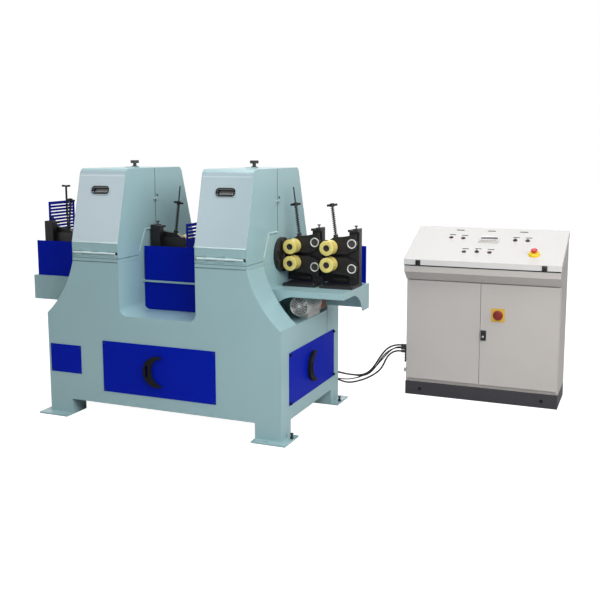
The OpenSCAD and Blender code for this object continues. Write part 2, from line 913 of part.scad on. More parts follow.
// Lobed knob that clamps the cover's strap
module star_knob(side) {
    low = hood_top_z + 2 * seat_gap + strap_t;
    color(steel_dark) on_side(side) translate([head_cx, knob_y, low]) {
        translate([0, 0, -strap_t]) cylinder(r = knob_stud_r, h = strap_t + knob_neck_h);
        cylinder(r = knob_neck_r, h = knob_neck_h);
        translate([0, 0, knob_neck_h]) difference() {
            cylinder(r = knob_r, h = knob_h);
            for (i = [0:knob_lobes - 1]) rotate([0, 0, 360 * i / knob_lobes])
                translate([knob_r + knob_neck_r / 3, 0, -cut_over])
                    cylinder(r = knob_neck_r * 2 / 3, h = knob_h + 2 * cut_over);
        }
    }
}

// Heads

// Flange on a head's side; its face looks along +X and the head's side sheet is at x = 0
module flange(size) {
    difference() {
        union() {
            bar_x(0, size[1], size[0]);
            bar_x(-size[2], 0, flange_neck_r);
            for (i = [0:flange_bolts - 1]) rotate([360 * (i + 1 / 2) / flange_bolts, 0, 0])
                translate([0, size[0] - flange_bolt_r * 2, 0])
                    bar_x(0, size[1] + flange_bolt_h, flange_bolt_r);
        }
        bar_x(-size[2] - cut_over, size[1] + cut_over, bar_bore_d / 2);
        bar_x(-size[2] - cut_over, size[1] - flange_lip, journal_r + slide_fit);
    }
}

module head_flanges() {
    color(steel_dark) both_ends() translate([0, 0, bar_z]) {
        translate([head_out, 0, 0]) flange(outer_flange);
        translate([head_in, 0, 0]) mirror([1, 0, 0]) flange(inner_flange);
    }
}

// Outline of a ribbed pulley's rim, radius over length
function ribbed(r, x0, x1) =
    let (step = (x1 - x0) / groove_count)
    concat([[0, x0]], [
        for (i = [0:groove_count - 1])
            let (a = x0 + i * step)
            each [[r, a], [r, a + step / 4], [r - groove_deep, a + step / 2], [r, a + 3 * step / 4]]],
        [[r, x1], [0, x1]]);

belt_pulley_z = bar_max_r + belt_t + belt_pulley_d / 2;
belt_mid = head_in + (disc_at[0][1] + disc_at[1][0]) / 2;

module planet_belts() {
    for (up = [-1, 1]) translate([belt_mid - belt_w / 2, 0, up * belt_pulley_z]) {
        color(belt_brown) difference() {
            rotate([90, 0, 90]) linear_extrude(belt_w) belt_loop(belt_pulley_d / 2 + belt_t);
            rotate([90, 0, 90]) translate([0, 0, -cut_over])
                linear_extrude(belt_w + 2 * cut_over) belt_loop(belt_pulley_d / 2);
        }
        color(steel_bright) for (side = [-1, 1]) translate([0, side * belt_y, 0])
            bar_x(0, belt_w, belt_pulley_d / 2);
    }
}

module belt_loop(r) {
    for (side = [-1, 1]) translate([side * belt_y, 0]) circle(r = r);
    square([2 * belt_y, 2 * r], center = true);
}

module head_rotor(side) {
    x_low = head_in - inner_flange[1] + flange_lip + screw_gap;
    x_high = head_out + outer_flange[1] - flange_lip - screw_gap;
    discs = disc_at + [[head_in, head_in], [head_in, head_in]];
    on_side(side) translate([0, 0, bar_z]) {
        color(steel_bright) difference() {
            union() {
                bar_x(x_low, discs[0][1], journal_r);
                bar_x(discs[1][0], x_high, journal_r);
                rotate([0, 90, 0]) rotate_extrude()
                    polygon(ribbed(rotor_pulley_r, head_in + pulley_at[0], head_in + pulley_at[1]));
                for (d = discs) bar_x(d[0], d[1], disc_r);
                for (up = [-1, 1])
                    for (way = [-1, 1])
                        translate([0, way * belt_y, up * belt_pulley_z]) bar_x(discs[0][1], discs[1][0], axle_r);
                for (up = [-1, 1])
                    translate([0, 0, up * (disc_r - 2 * axle_r)]) bar_x(discs[0][1], discs[1][0], axle_r);
            }
            bar_x(x_low - cut_over, x_high + cut_over, bar_bore_d / 2);
            for (i = [0:disc_holes - 1]) rotate([disc_hole_turn + 360 * i / disc_holes, 0, 0])
                translate([0, disc_hole_at, 0]) bar_x(discs[0][0] - cut_over, discs[1][1] + cut_over, disc_hole_r);
        }
        planet_belts();
    }
}

// Open belt round the rotor's pulley and the motor's, in the YZ plane
module belt_shape(grow) {
    a = [0, bar_z];
    b = [drive_y, drive_z];
    r0 = rotor_pulley_r + grow;
    r1 = drive_pulley_r + grow;
    base = atan2((b - a).y, (b - a).x);
    lean = acos((r0 - r1) / norm(b - a));
    up = [cos(base + lean), sin(base + lean)];
    low = [cos(base - lean), sin(base - lean)];
    translate(a) circle(r = r0);
    translate(b) circle(r = r1);
    w0 = r0 - belt_nip;
    w1 = r1 - belt_nip;
    polygon([a + w0 * up, b + w1 * up, b + w1 * low, a + w0 * low]);
}

module head_drive() {
    x0 = head_in + pulley_at[0];
    x1 = head_in + pulley_at[1];
    low = motor_shelf_z + motor_shelf_t;
    motor_x0 = x1 + drive_gap;
    color(belt_brown) along_x(x0 + drive_belt_in, x1 - drive_belt_in) difference() {
        belt_shape(drive_belt_t);
        belt_shape(seat_gap);
    }
    color(steel_dark) translate([0, drive_y, drive_z]) {
        bar_x(x0, x1, drive_pulley_r);
        bar_x(x1, motor_x0, drive_shaft_r);
    }
    color(steel_bright) translate([0, drive_y, drive_z]) {
        difference() {
            bar_x(motor_x0, motor_x0 + head_motor_len, head_motor_d / 2);
            for (i = [0:fin_count - 1]) rotate([360 * (i + 1 / 2) / fin_count, 0, 0])
                block([motor_x0 + head_motor_len / 6, head_motor_d / 2 - drive_fin, -drive_fin / 2],
                    [motor_x0 + head_motor_len * 2 / 3, head_motor_d, drive_fin / 2]);
        }
    }
    color(steel_bright) block([motor_x0 + head_motor_len / 4, drive_y - drive_foot_w / 2, low],
        [motor_x0 + head_motor_len / 2, drive_y + drive_foot_w / 2, drive_z - head_motor_d / 3]);
}

module head_drives() {
    both_ends() head_drive();
}

// Feed shelves

// Front apron, deep at the head and shallow at the end
module front_apron(len) {
    difference() {
        pane([0, shelf_z - apron_deep], [len, shelf_z]);
        translate([arch_x, shelf_z - apron_h - arch_r]) circle(r = arch_r);
        pane([arch_x, 0], [len + cut_over, shelf_z - apron_h]);
    }
}

// End apron, shallow at the front and deep at the back
module end_apron() {
    difference() {
        pane([0, shelf_z - apron_deep], [shelf_dep, shelf_z]);
        translate([end_arch_y, shelf_z - apron_h - end_arch_r]) circle(r = end_arch_r);
        pane([-cut_over, 0], [end_arch_y, shelf_z - apron_h]);
    }
}

// Shelf with its aprons; x runs out from the head and y back from the front edge
module shelf(len) {
    block([0, 0, shelf_z - sheet_t], [len, shelf_dep, shelf_z]);
    along_y(0, sheet_t) front_apron(len);
    along_y(shelf_dep - sheet_t, shelf_dep) pane([0, shelf_z - apron_deep], [len, shelf_z]);
    along_x(len - sheet_t, len) end_apron();
    block([0, 0, shelf_z - apron_h], [sheet_t, shelf_dep, shelf_z]);
}

module shelf_right() {
    color(paint_teal) translate([head_out, right_shelf_y, 0]) shelf(shelf_len);
}

module shelf_left() {
    color(paint_teal) rotate([0, 0, 180]) translate([head_out, left_shelf_y, 0]) shelf(left_shelf_len);
}

// Blue guards

// Flat guard plate across the bar with a hole for it; louvres fill its top
module dust_plate(y0, y1, z0, h) {
    rows = floor((z0 + h - bar_z - dust_hole_r - louvre_side) / louvre_pitch);
    difference() {
        pane([y0, z0], [y1, z0 + h]);
        translate([0, bar_z]) circle(r = dust_hole_r);
        for (i = [0:rows - 1])
            pane([y0 + louvre_side, z0 + h - louvre_side - i * louvre_pitch - louvre_h],
                [y1 - louvre_side, z0 + h - louvre_side - i * louvre_pitch]);
    }
}

module guard_right() {
    y1 = right_shelf_y + shelf_dep - guard_back;
    x1 = head_out + shelf_len - guard_end;
    color(paint_blue) {
        block([head_out + guard_in, y1 - guard_t, shelf_z], [x1, y1, shelf_z + guard_h]);
        block([x1 - guard_t, y1 - guard_lip, shelf_z], [x1, y1, shelf_z + guard_h]);
    }
}

module guard_left() {
    x0 = -head_out - left_shelf_len + guard_end;
    color(paint_blue) {
        block([x0, left_guard_y, shelf_z], [-head_out - guard_in, left_guard_y + guard_t, shelf_z + guard_h]);
        block([x0, left_guard_y, shelf_z], [x0 + guard_t, left_guard_y + guard_lip, shelf_z + guard_h]);
        along_x(-head_out - left_shelf_len + end_dust_gap, -head_out - left_shelf_len + end_dust_gap + guard_t)
            dust_plate(end_dust_y[0], end_dust_y[1], shelf_z, end_dust_h);
    }
}

module guard_middle() {
    color(paint_blue) {
        block([-mid_guard_x, mid_guard_y, deck_z], [mid_guard_x, mid_guard_y + guard_t, deck_z + mid_guard_h]);
        along_y(-mid_y - guard_t, -mid_y) intersection() {
            pane([-mid_guard_x, mid_low_z], [mid_guard_x, shelf_z]);
            polygon(saddle(-mid_guard_gap));
        }
        along_x(dust_x, dust_x + guard_t) dust_plate(-dust_y, dust_y, deck_z, dust_h);
    }
}

// Feed units, each in its own frame: x towards the pivot, y back, z up from the bar's centre line

module at_unit(u) {
    translate([u[0], 0, bar_z]) rotate([0, 0, u[1]]) children();
}

// The upper half as modelled, or its mirror image below the bar
module half(up) {
    if (up < 0) mirror([0, 0, 1]) children();
    else children();
}

arm_back = arm_y + arm_t;
lug_at = [lug_share.x * pivot_dx, lug_share.y * pivot_dz];

// Places along the leaning tension screw, from the lug's foot up
module on_screw() {
    translate([lug_at.x, arm_y + arm_t / 2, lug_at.y]) rotate([0, -screw_lean, 0]) children();
}

module arm_blank() {
    along_y(arm_y, arm_back) polygon([for (p = arm_shares) [p.x * pivot_dx, p.y * pivot_dz]]);
    translate([0, 0, roller_z]) bar_y(arm_y, arm_back + ring_t, ring_r);
    translate([pivot_dx, 0, pivot_dz]) bar_y(arm_y - ring_t, arm_back, ring_r);
}

module arm_bores() {
    translate([0, 0, roller_z]) {
        bar_y(arm_y - cut_over, arm_back + cut_over, shaft_r + slide_fit);
        bar_y(arm_back, arm_back + ring_t + cut_over, ring_in_r);
    }
    translate([pivot_dx, 0, pivot_dz])
        bar_y(arm_y - ring_t - cut_over, arm_back + cut_over, pivot_d / 2 + slide_fit);
}

module upper_arm(u) {
    color(steel_dark) at_unit(u) difference() {
        union() {
            arm_blank();
            on_screw() translate([0, 0, -lug_h]) cylinder(r = lug_r, h = 2 * lug_h);
        }
        arm_bores();
        on_screw() translate([0, 0, -screw_deep]) cylinder(d = screw_d + 2 * slide_fit, h = 2 * screw_deep);
    }
}

module lower_arm(u) {
    color(steel_dark) at_unit(u) half(-1) difference() {
        arm_blank();
        arm_bores();
    }
}

// Hollow-waisted roller on its shaft
module roller(u, up) {
    edge = roller_len / 2;
    r = roller_d / 2;
    tyre = [
        for (i = [0:waist_steps])
            let (t = 2 * i / waist_steps - 1)
            [r - waist * (1 - t * t), t * edge]];
    at_unit(u) translate([0, 0, up * roller_z]) {
        color(tyre_yellow) rotate([90, 0, 0]) rotate_extrude() polygon(concat([[hub_r, -edge]], tyre, [[hub_r, edge]]));
        color(steel_dark) bar_y(hub_in - edge, edge, hub_r);
        color(steel_dark) bar_y(edge, arm_back + ring_t - pin_in, shaft_r);
    }
}

module tension_screw(u) {
    color(steel_dark) at_unit(u) on_screw() {
        translate([0, 0, screw_gap - screw_deep]) cylinder(d = screw_d, h = screw_deep + tee_at + tee_hub_h + u[3]);
        translate([0, 0, tee_at]) cylinder(r = tee_hub_r, h = tee_hub_h);
        translate([0, 0, tee_at + tee_hub_h / 2]) bar_x(-tee_bar_len / 2, tee_bar_len / 2, tee_bar_r);
    }
}

spring_low = lug_h;
spring_high = tee_at - seat_gap;

// Path of the spring's wire: straight end, curls, straight end
function spring_path() =
    let (r = spring_d / 2, low = spring_low + wire_d, high = spring_high - wire_d,
        n = spring_curls * spring_rings)
    concat([[r, 0, spring_low]],
        [for (i = [0:n]) let (a = 360 * i / spring_rings) [r * cos(a), r * sin(a), low + (high - low) * i / n]],
        [[r, 0, spring_high]]);

function least_gap(p, skip) = min([
    for (i = [0:len(p) - 1 - skip])
        for (j = [i + skip:len(p) - 1]) norm(p[i] - p[j])]);

echo("Least gap of a tension spring to itself, mm", least_gap(spring_path(), spring_rings / 2) - wire_d);

module tension_spring(u) {
    color(steel_bright) at_unit(u) on_screw() tube(spring_path(), wire_d / 2, spring_sides);
}

// Fixed part of a unit: base plate, upright with its cap, and the two pivot pins
module unit_frame(u) {
    x0 = post_shares[0] * pivot_dx;
    x1 = post_shares[1] * pivot_dx;
    mid = (x0 + x1) / 2;
    y0 = arm_back + arm_gap;
    low = shelf_z + unit_base_t - bar_z;
    knob = [(mid + x1) / 2, (cap_front + y0) / 2, post_top + cap_h + step_h];
    at_unit(u) {
        block([base_shares[0] * pivot_dx, base_y[0], u[2] - bar_z], [base_shares[1] * pivot_dx, base_y[1], low]);
        block([x0, y0, low], [x1, y0 + post_t, post_top]);
        block([x0, cap_front, post_top], [x1, y0 + post_t, post_top + cap_h]);
        block([mid, cap_front, post_top + cap_h], [x1, y0 + post_t, post_top + cap_h + step_h]);
        translate(knob) {
            cylinder(r = knob_stem_r, h = knob_stem_h);
            translate([0, 0, knob_stem_h]) cylinder(r = knob_top_r, h = knob_top_h);
        }
        for (up = [-1, 1]) translate([pivot_dx, 0, up * pivot_dz]) bar_y(arm_y - ring_t + pin_in, y0, pivot_d / 2);
    }
}

module feed_frames() {
    color(steel_dark) for (u = [right_1, right_2, middle, left]) unit_frame(u);
    color(steel_bright) at_unit(left) translate([lift_rod_share * pivot_dx, lift_rod_y, 0]) {
        low = shelf_z + unit_base_t - bar_z;
        translate([0, 0, low]) cylinder(r = lift_rod_r, h = lift_rod_top - low);
        translate([0, 0, lift_rod_top - tee_bar_r]) bar_x(-tee_bar_len / 2, tee_bar_len / 2, tee_bar_r);
    }
}

// Feed motor with its gearbox, under the right shelf

module grille() {
    r = (motor_d - fan_wall) / 2;
    for (i = [1:grille_rings]) {
        at = grille_hub_r + (r - grille_hub_r) * i / grille_rings;
        difference() {
            circle(r = at);
            circle(r = at - grille_w);
        }
    }
    circle(r = grille_hub_r);
    for (i = [0:grille_bars - 1]) rotate([0, 0, 360 * i / grille_bars])
        translate([0, -grille_w / 2]) square([r - grille_w / 2, grille_w]);
}

module feed_motor() {
    r = motor_d / 2;
    cover_back = motor_y + fan_cover_len;
    motor_back = motor_y + motor_len;
    color(steel_bright) translate([motor_x, 0, motor_z]) {
        difference() {
            bar_y(motor_y, cover_back, r);
            bar_y(motor_y - cut_over, cover_back + cut_over, r - fan_wall);
        }
        along_y(motor_y + grille_in, motor_y + grille_in + grille_t) grille();
        difference() {
            bar_y(cover_back, motor_back, r);
            bar_y(cover_back - cut_over, cover_back + fan_shaft_in, fan_shaft_r + slide_fit);
            for (i = [0:fin_count - 1]) rotate([0, 360 * (i + 1 / 2) / fin_count, 0])
                block([r - fin_deep, cover_back + fin_deep, -fin_t / 2], [r + fin_deep, motor_back - 2 * fin_deep, fin_t / 2]);
        }
        block([-box_size.x / 2, motor_back - box_size.y - 3 * fin_deep, r - 2 * fin_deep],
            [box_size.x / 2, motor_back - 3 * fin_deep, r - fin_deep + box_size.z]);
    }
    color(steel_dark) translate([motor_x, 0, motor_z]) {
        block([-gearbox.x / 2, motor_back, -gearbox.z / 2], [gearbox.x / 2, motor_back + gearbox.y, gearbox.z / 2]);
    }
    color(steel_dark) block([half_len - sheet_t - motor_foot.x, motor_back - motor_foot.y, end_z],
        [half_len - sheet_t, motor_back + gearbox.y, motor_z - r + 2 * fin_deep]);
}

module motor_fan() {
    cover_back = motor_y + fan_cover_len;
    low = motor_y + fan_in;
    color(steel_dark) translate([motor_x, 0, motor_z]) {
        bar_y(low + blade_t, cover_back + fan_shaft_in - screw_gap, fan_shaft_r);
        bar_y(low, low + fan_w, fan_hub_r);
        for (i = [0:fan_blades - 1]) rotate([0, 360 * (i + 1 / 2) / fan_blades, 0])
            block([fan_hub_r / 2, low + blade_t, -blade_t / 2], [fan_r, low + fan_w - blade_t, blade_t / 2]);
    }
}

// Console

desk_front = console_y - desk_out;
console_back = console_y + console_dep;
body_front = console_y + door_t;
lid_front = desk_front - lid_over;
lid_run = console_back - lid_front;
lid_rise = lid_back_z - lid_front_z;
lid_angle = atan2(lid_rise, lid_run);

// Height of the lid's lower edge at depth y
function lid_low(y) = lid_front_z - lid_rim + (y - lid_front) * lid_rise / lid_run;

door_x = [
    [console_x + door_side, console_x + door_split - door_gap / 2],
    [console_x + door_split + door_gap / 2, console_x + console_w - door_side]];
door_z = [plinth_h + door_low, cabinet_z - door_high];
door_pin_y = console_y + 2 * door_pin_r;

desk_outline = [
    [body_front, plinth_h], [console_back, plinth_h], [console_back, lid_low(console_back) - lid_gap],
    [desk_front, lid_low(desk_front) - lid_gap], [desk_front, desk_low_z], [console_y, cabinet_z],
    [body_front, cabinet_z]];
rail_w = 40;
rail_gap = 120;

module console_cabinet() {
    x1 = console_x + console_w;
    color(case_grey) {
        difference() {
            sheet_box(console_x, x1, desk_outline, [for (p = desk_outline) 0],
                [case_t, case_t, -cut_over, case_t, case_t, case_t, case_t], case_t);
            block([door_x[0][0] + door_stop, body_front - cut_over, door_z[0] + door_stop],
                [door_x[1][1] - door_stop, body_front + case_t + cut_over, door_z[1] - door_stop]);
        }
        for (side = [0, 1]) door_pins(side);
        lid_hinges([0, 2], -1);
        for (x = [console_x + rail_gap, x1 - rail_gap - rail_w])
            block([x, console_back - case_t - rail_w, door_z[0]], [x + rail_w, console_back - case_t, door_z[1]]);
        block([console_x + rail_gap, console_back - case_t - rail_w - case_t, door_z[0] + rail_gap],
            [x1 - rail_gap, console_back - case_t - rail_w, door_z[1] - rail_gap]);
    }
    color(case_grey) translate([0, console_gland.x, side_knob_z])
        bar_x(console_x - side_knob_h, console_x, side_knob_r);
}

// X of a door's hinge pins
function door_pin_x(side) = side == 0 ? door_x[0][0] + door_pin_in : door_x[1][1] - door_pin_in;

// Brackets and pins that carry a door above and below
module door_pins(side) {
    x = door_pin_x(side);
    x0 = side == 0 ? door_x[0][0] : door_x[1][1] - door_block;
    translate([0, console_y + door_gap, 0]) {
        block([x0, 0, door_z[0] - door_low / 2], [x0 + door_block, door_t - door_gap, door_z[0] - screw_gap]);
        block([x0, 0, door_z[1] + screw_gap], [x0 + door_block, door_t - door_gap, cabinet_z]);
    }
    translate([x, door_pin_y, 0]) {
        translate([0, 0, door_z[0] - door_low / 2]) cylinder(r = door_pin_r, h = door_low / 2 + door_pin_len - screw_gap);
        translate([0, 0, door_z[1] - door_pin_len + screw_gap]) cylinder(r = door_pin_r, h = door_pin_len + door_high - screw_gap);
    }
}

module door(side) {
    x = door_x[side];
    y1 = body_front - door_back;
    x0 = side == 0 ? x[0] : x[1] - door_block;
    difference() {
        union() {
            difference() {
                block([x[0], console_y, door_z[0]], [x[1], y1, door_z[1]]);
                block([x[0] + door_wall, console_y + door_wall, door_z[0] + door_wall],
                    [x[1] - door_wall, y1 + cut_over, door_z[1] - door_wall]);
            }
            block([x0, console_y, door_z[0]], [x0 + door_block, y1, door_z[0] + 2 * door_block]);
            block([x0, console_y, door_z[1] - 2 * door_block], [x0 + door_block, y1, door_z[1]]);
        }
        translate([door_pin_x(side), door_pin_y, 0])
            for (z = [door_z[0] - door_pin_len, door_z[1] - door_pin_len])
                translate([0, 0, z]) cylinder(r = door_pin_r + slide_fit, h = 2 * door_pin_len);
    }
}

module door_left() {
    color(case_grey) door(0);
}

switch_pos = [console_x + switch_at.x, console_y, switch_at.y];
handle_pos = [console_x + handle_at.x, console_y, handle_at.y];

module door_right() {
    difference() {
        union() {
            color(case_grey) door(1);
            color(tyre_yellow) translate(switch_pos) along_y(-switch_plate_t, 0) square(switch_plate, center = true);
            color(steel_dark) translate(handle_pos) along_y(-handle_plate_t, 0) square(handle_plate, center = true);
        }
        for (p = [switch_pos, handle_pos]) translate(p)
            bar_y(-handle_plate_t - cut_over, door_wall + cut_over, switch_shaft_r + slide_fit);
    }
}

module main_switch() {
    front = -switch_plate_t - seat_gap;
    color(signal_red) translate(switch_pos) {
        bar_y(front, door_wall + switch_plate_t, switch_shaft_r);
        bar_y(front - switch_grip.z, front, switch_r);
        along_y(front - switch_h, front - switch_grip.z) square([switch_grip.x, switch_grip.y], center = true);
    }
}

module door_handle() {
    front = -handle_plate_t - seat_gap;
    color(steel_dark) translate(handle_pos) {
        bar_y(front, door_wall + switch_plate_t, switch_shaft_r);
        along_y(front - handle_lever.z, front)
            translate([-handle_lever.x / 2, -handle_lever.y / 2]) square([handle_lever.x, handle_lever.y]);
    }
}

module console_plinth() {
    x1 = console_x + console_w;
    color(plinth_grey) difference() {
        block([console_x, console_y, 0], [x1, console_back, plinth_h]);
        block([console_x + case_t, console_y + case_t, -cut_over],
            [x1 - case_t, console_back - case_t, plinth_h - case_t]);
        for (x = [console_x + rail_gap, x1 - rail_gap])
            translate([x, 0, plinth_h / 2]) bar_y(console_y - cut_over, console_y + case_t + cut_over, plug_r);
    }
}

lid_pin_z = lid_low(console_back);

// Barrels of the lid's two hinges: the outer ones on the cabinet, the middle one on the lid
module lid_hinges(which, up) {
    for (x = [console_x + lid_hinge_at, console_x + console_w - lid_hinge_at])
        for (i = which) {
            x0 = x + (i - 3 / 2) * lid_hinge_w + knuckle_gap / 2;
            x1 = x0 + lid_hinge_w - knuckle_gap;
            z = [lid_pin_z, lid_pin_z + up * lid_leaf[1]];
            translate([0, console_back + lid_hinge_out, lid_pin_z]) bar_x(x0, x1, lid_hinge_r);
            block([x0, console_back, min(z)], [x1, console_back + lid_leaf[0], max(z)]);
        }
    if (up < 0)
        for (x = [console_x + lid_hinge_at, console_x + console_w - lid_hinge_at])
            translate([x, console_back + lid_hinge_out, lid_pin_z])
                bar_x(-lid_hinge_w * 3 / 2 + knuckle_gap, lid_hinge_w * 3 / 2 - knuckle_gap, lid_pin_r);
}

// Places on the lid's face as shares of its width and slope; z points out of it
module on_lid(share) {
    translate([console_x + share.x * console_w, lid_front + share.y * lid_run, lid_front_z + share.y * lid_rise])
        rotate([lid_angle, 0, 0]) children();
}

lid_outline = [
    [lid_front, lid_low(lid_front)], [console_back, lid_low(console_back)],
    [console_back, lid_back_z], [lid_front, lid_front_z]];

module console_lid() {
    color(case_grey) difference() {
        union() {
            sheet_box(console_x - lid_over, console_x + console_w + lid_over, lid_outline, [0, 0, 0, 0],
                [-cut_over, case_t, case_t, case_t], case_t);
            lid_hinges([1], 1);
        }
        for (x = [console_x + lid_hinge_at, console_x + console_w - lid_hinge_at])
            translate([x, console_back + lid_hinge_out, lid_pin_z])
                bar_x(-lid_hinge_w, lid_hinge_w, lid_pin_r + slide_fit);
        for (p = [start_share, stop_share, selector_share])
            on_lid(p) translate([0, 0, -button_stem_len]) cylinder(r = button_stem_r + slide_fit, h = 2 * button_stem_len);
        on_lid(stop_head_share) translate([0, 0, -button_stem_len])
            cylinder(r = estop_neck_r + slide_fit, h = 2 * button_stem_len);
    }
    color(steel_dark) {
        for (p = [start_share, stop_share, selector_share]) on_lid(p) difference() {
            cylinder(r = button_ring_r, h = button_ring_h);
            translate([0, 0, -cut_over]) cylinder(r = button_r + seat_gap, h = button_ring_h + 2 * cut_over);
        }
        on_lid(display_share) translate([0, 0, display_size.z / 2]) cube(display_size, center = true);
        for (x = latch_at)
            translate([console_x + x, lid_front - latch_size.y, lid_low(lid_front) + screw_gap]) cube(latch_size);
    }
    color(steel_bright) for (p = lamp_shares) on_lid(p) {
        cylinder(r = button_ring_r, h = button_ring_h);
        cylinder(r = button_r, h = button_ring_h + button_h / 2);
    }
    color(tyre_yellow) on_lid(stop_head_share) difference() {
        cylinder(r1 = estop_base_r, r2 = estop_base_r - estop_base_h / 3, h = estop_base_h);
        translate([0, 0, -cut_over]) cylinder(r = estop_neck_r + slide_fit, h = estop_base_h + 2 * cut_over);
    }
}

module push_button(share) {
    on_lid(share) {
        translate([0, 0, push_gap]) cylinder(r = button_r, h = button_h);
        translate([0, 0, -button_stem_len]) cylinder(r = button_stem_r, h = button_stem_len + push_gap);
    }
}

module start_button() {
    color(steel_bright) push_button(start_share);
}

module stop_button() {
    color(signal_red) push_button(stop_share);
}

module selector_switch() {
    color(steel_dark) on_lid(selector_share) {
        translate([0, 0, seat_gap]) cylinder(r = button_r, h = button_ring_h + button_h / 2);
        translate([0, 0, button_ring_h + button_h]) cube([button_r / 2, 2 * button_r, 2 * button_h], center = true);
        translate([0, 0, -button_stem_len]) cylinder(r = button_stem_r, h = button_stem_len + seat_gap);
    }
}

module e_stop() {
    color(signal_red) on_lid(stop_head_share) {
        translate([0, 0, estop_base_h - estop_neck_h]) cylinder(r = estop_neck_r, h = estop_neck_h + 2 * push_gap);
        translate([0, 0, estop_base_h + 2 * push_gap]) intersection() {
            cylinder(r = estop_head_r, h = estop_head_h);
            translate([0, 0, estop_head_h - 2 * estop_head_r]) sphere(r = 2 * estop_head_r);
        }
    }
}

// Cables and their glands

// A gland that stands on the plane z = 0 with its cable leaving upwards
module gland() {
    cylinder(r = gland_nut_r, h = gland_nut_len, $fn = 6);
    cylinder(d = gland_d, h = gland_len);
}

module cable_glands() {
    low = [machine_gland.x - machine_gland_step.x, machine_gland.y - machine_gland_step.y];
    rim = gland_nut_r + gland_plate_rim;
    color(steel_dark) {
        along_y(half_dep, half_dep + gland_plate_t)
            pane(low - [rim, rim], machine_gland + [rim, rim]);
        for (i = [0, 1])
            for (j = [0, 1])
                translate([machine_gland.x - i * machine_gland_step.x, half_dep, machine_gland.y - j * machine_gland_step.y])
                    rotate([-90, 0, 0]) gland();
        for (p = [[0, 0], [0, 1], [0, 2], [1, 1]]) at_console_gland(p) gland();
        for (p = [[0, 3], [0, 4], [0, 5]]) at_console_gland(p) cylinder(r = gland_nut_r, h = gland_nut_len, $fn = 6);
    }
}

module at_console_gland(p) {
    translate([console_x, console_gland.x + p.x * console_gland_step.x, console_gland.y - p.y * console_gland_step.y])
        rotate([0, -90, 0]) children();
}

function path_len(p) = len(p) < 2 ? 0 : [for (i = [1:len(p) - 1]) norm(p[i] - p[i - 1])] * [for (i = [1:len(p) - 1]) 1];

echo("Lengths of the cables, mm", [for (p = cable_routes) path_len(p)]);

module control_cables() {
    color(steel_dark) translate([half_len, half_dep, 0] - cable_home)
        for (i = [0:len(cable_routes) - 1]) tube(cable_routes[i], cable_sizes[i] / 2, cable_sides);
}

base_frame();
levelling_bolts();
hood_body(-1);  // hood_body_left
hood_body(1);  // hood_body_right
shelf_left();
shelf_right();
guard_left();
guard_right();
guard_middle();
head_flanges();
head_drives();
feed_motor();
feed_frames();
small_panel();
front_panel();
end_panel();
cover(-1);  // cover_left
cover(1);  // cover_right
star_knob(-1);  // star_knob_left
star_knob(1);  // star_knob_right
head_rotor(-1);  // head_left
head_rotor(1);  // head_right
motor_fan();
upper_arm(right_1);  // upper_arm_right_1
lower_arm(right_1);  // lower_arm_right_1
roller(right_1, 1);  // upper_roller_right_1
roller(right_1, -1);  // lower_roller_right_1
tension_screw(right_1);  // tension_screw_right_1
tension_spring(right_1);  // tension_spring_right_1
upper_arm(right_2);  // upper_arm_right_2
lower_arm(right_2);  // lower_arm_right_2
roller(right_2, 1);  // upper_roller_right_2
roller(right_2, -1);  // lower_roller_right_2
tension_screw(right_2);  // tension_screw_right_2
tension_spring(right_2);  // tension_spring_right_2
upper_arm(middle);  // upper_arm_middle
lower_arm(middle);  // lower_arm_middle
roller(middle, 1);  // upper_roller_middle
roller(middle, -1);  // lower_roller_middle
tension_screw(middle);  // tension_screw_middle
tension_spring(middle);  // tension_spring_middle
upper_arm(left);  // upper_arm_left
lower_arm(left);  // lower_arm_left
roller(left, 1);  // upper_roller_left
roller(left, -1);  // lower_roller_left
tension_screw(left);  // tension_screw_left
tension_spring(left);  // tension_spring_left
console_cabinet();
console_plinth();
console_lid();
door_left();
door_right();
door_handle();
main_switch();
e_stop();
start_button();
stop_button();
selector_switch();
cable_glands();
control_cables();
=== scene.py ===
import math

import bmesh
import bpy
from mathutils import Matrix, Vector


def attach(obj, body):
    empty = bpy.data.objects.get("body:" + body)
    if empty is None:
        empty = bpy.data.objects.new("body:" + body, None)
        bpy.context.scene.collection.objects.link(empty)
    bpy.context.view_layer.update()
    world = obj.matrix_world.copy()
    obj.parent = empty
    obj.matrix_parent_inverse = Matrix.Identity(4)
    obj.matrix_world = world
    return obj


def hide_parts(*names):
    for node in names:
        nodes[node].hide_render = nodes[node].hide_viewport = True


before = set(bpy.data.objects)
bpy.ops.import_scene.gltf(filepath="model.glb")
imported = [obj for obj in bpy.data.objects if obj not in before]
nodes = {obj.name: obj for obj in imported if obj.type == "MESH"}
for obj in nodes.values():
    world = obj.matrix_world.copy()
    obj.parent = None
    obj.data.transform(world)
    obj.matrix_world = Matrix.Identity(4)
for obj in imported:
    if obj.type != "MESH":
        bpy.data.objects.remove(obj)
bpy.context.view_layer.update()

# Camera: it stands to the right of the machine, a little above the console,
# and looks slightly down, as the photograph was taken.

lens = bpy.data.cameras.new("lens")
lens.sensor_width = 36.0
lens.lens = 50.914
lens.shift_y = -0.0522
lens.clip_end = 80.0
camera = bpy.data.objects.new("camera", lens)
bpy.context.scene.collection.objects.link(camera)
bpy.context.scene.camera = camera
turn_left, look_up, roll = 0.3938, -0.1377, -0.0022
camera.matrix_world = (
    Matrix.Translation((3.21402, -5.64814, 1.97136))
    @ Matrix.Rotation(turn_left, 4, "Z")
    @ Matrix.Rotation(math.pi / 2 + look_up, 4, "X")
    @ Matrix.Rotation(roll, 4, "Z")
)

# Control cables: two thick power cables and two thinner signal cables, black
# and round. They leave the base's back, sag towards the floor and rise to the
# glands on the console's left side. Every finish of the scene starts here.


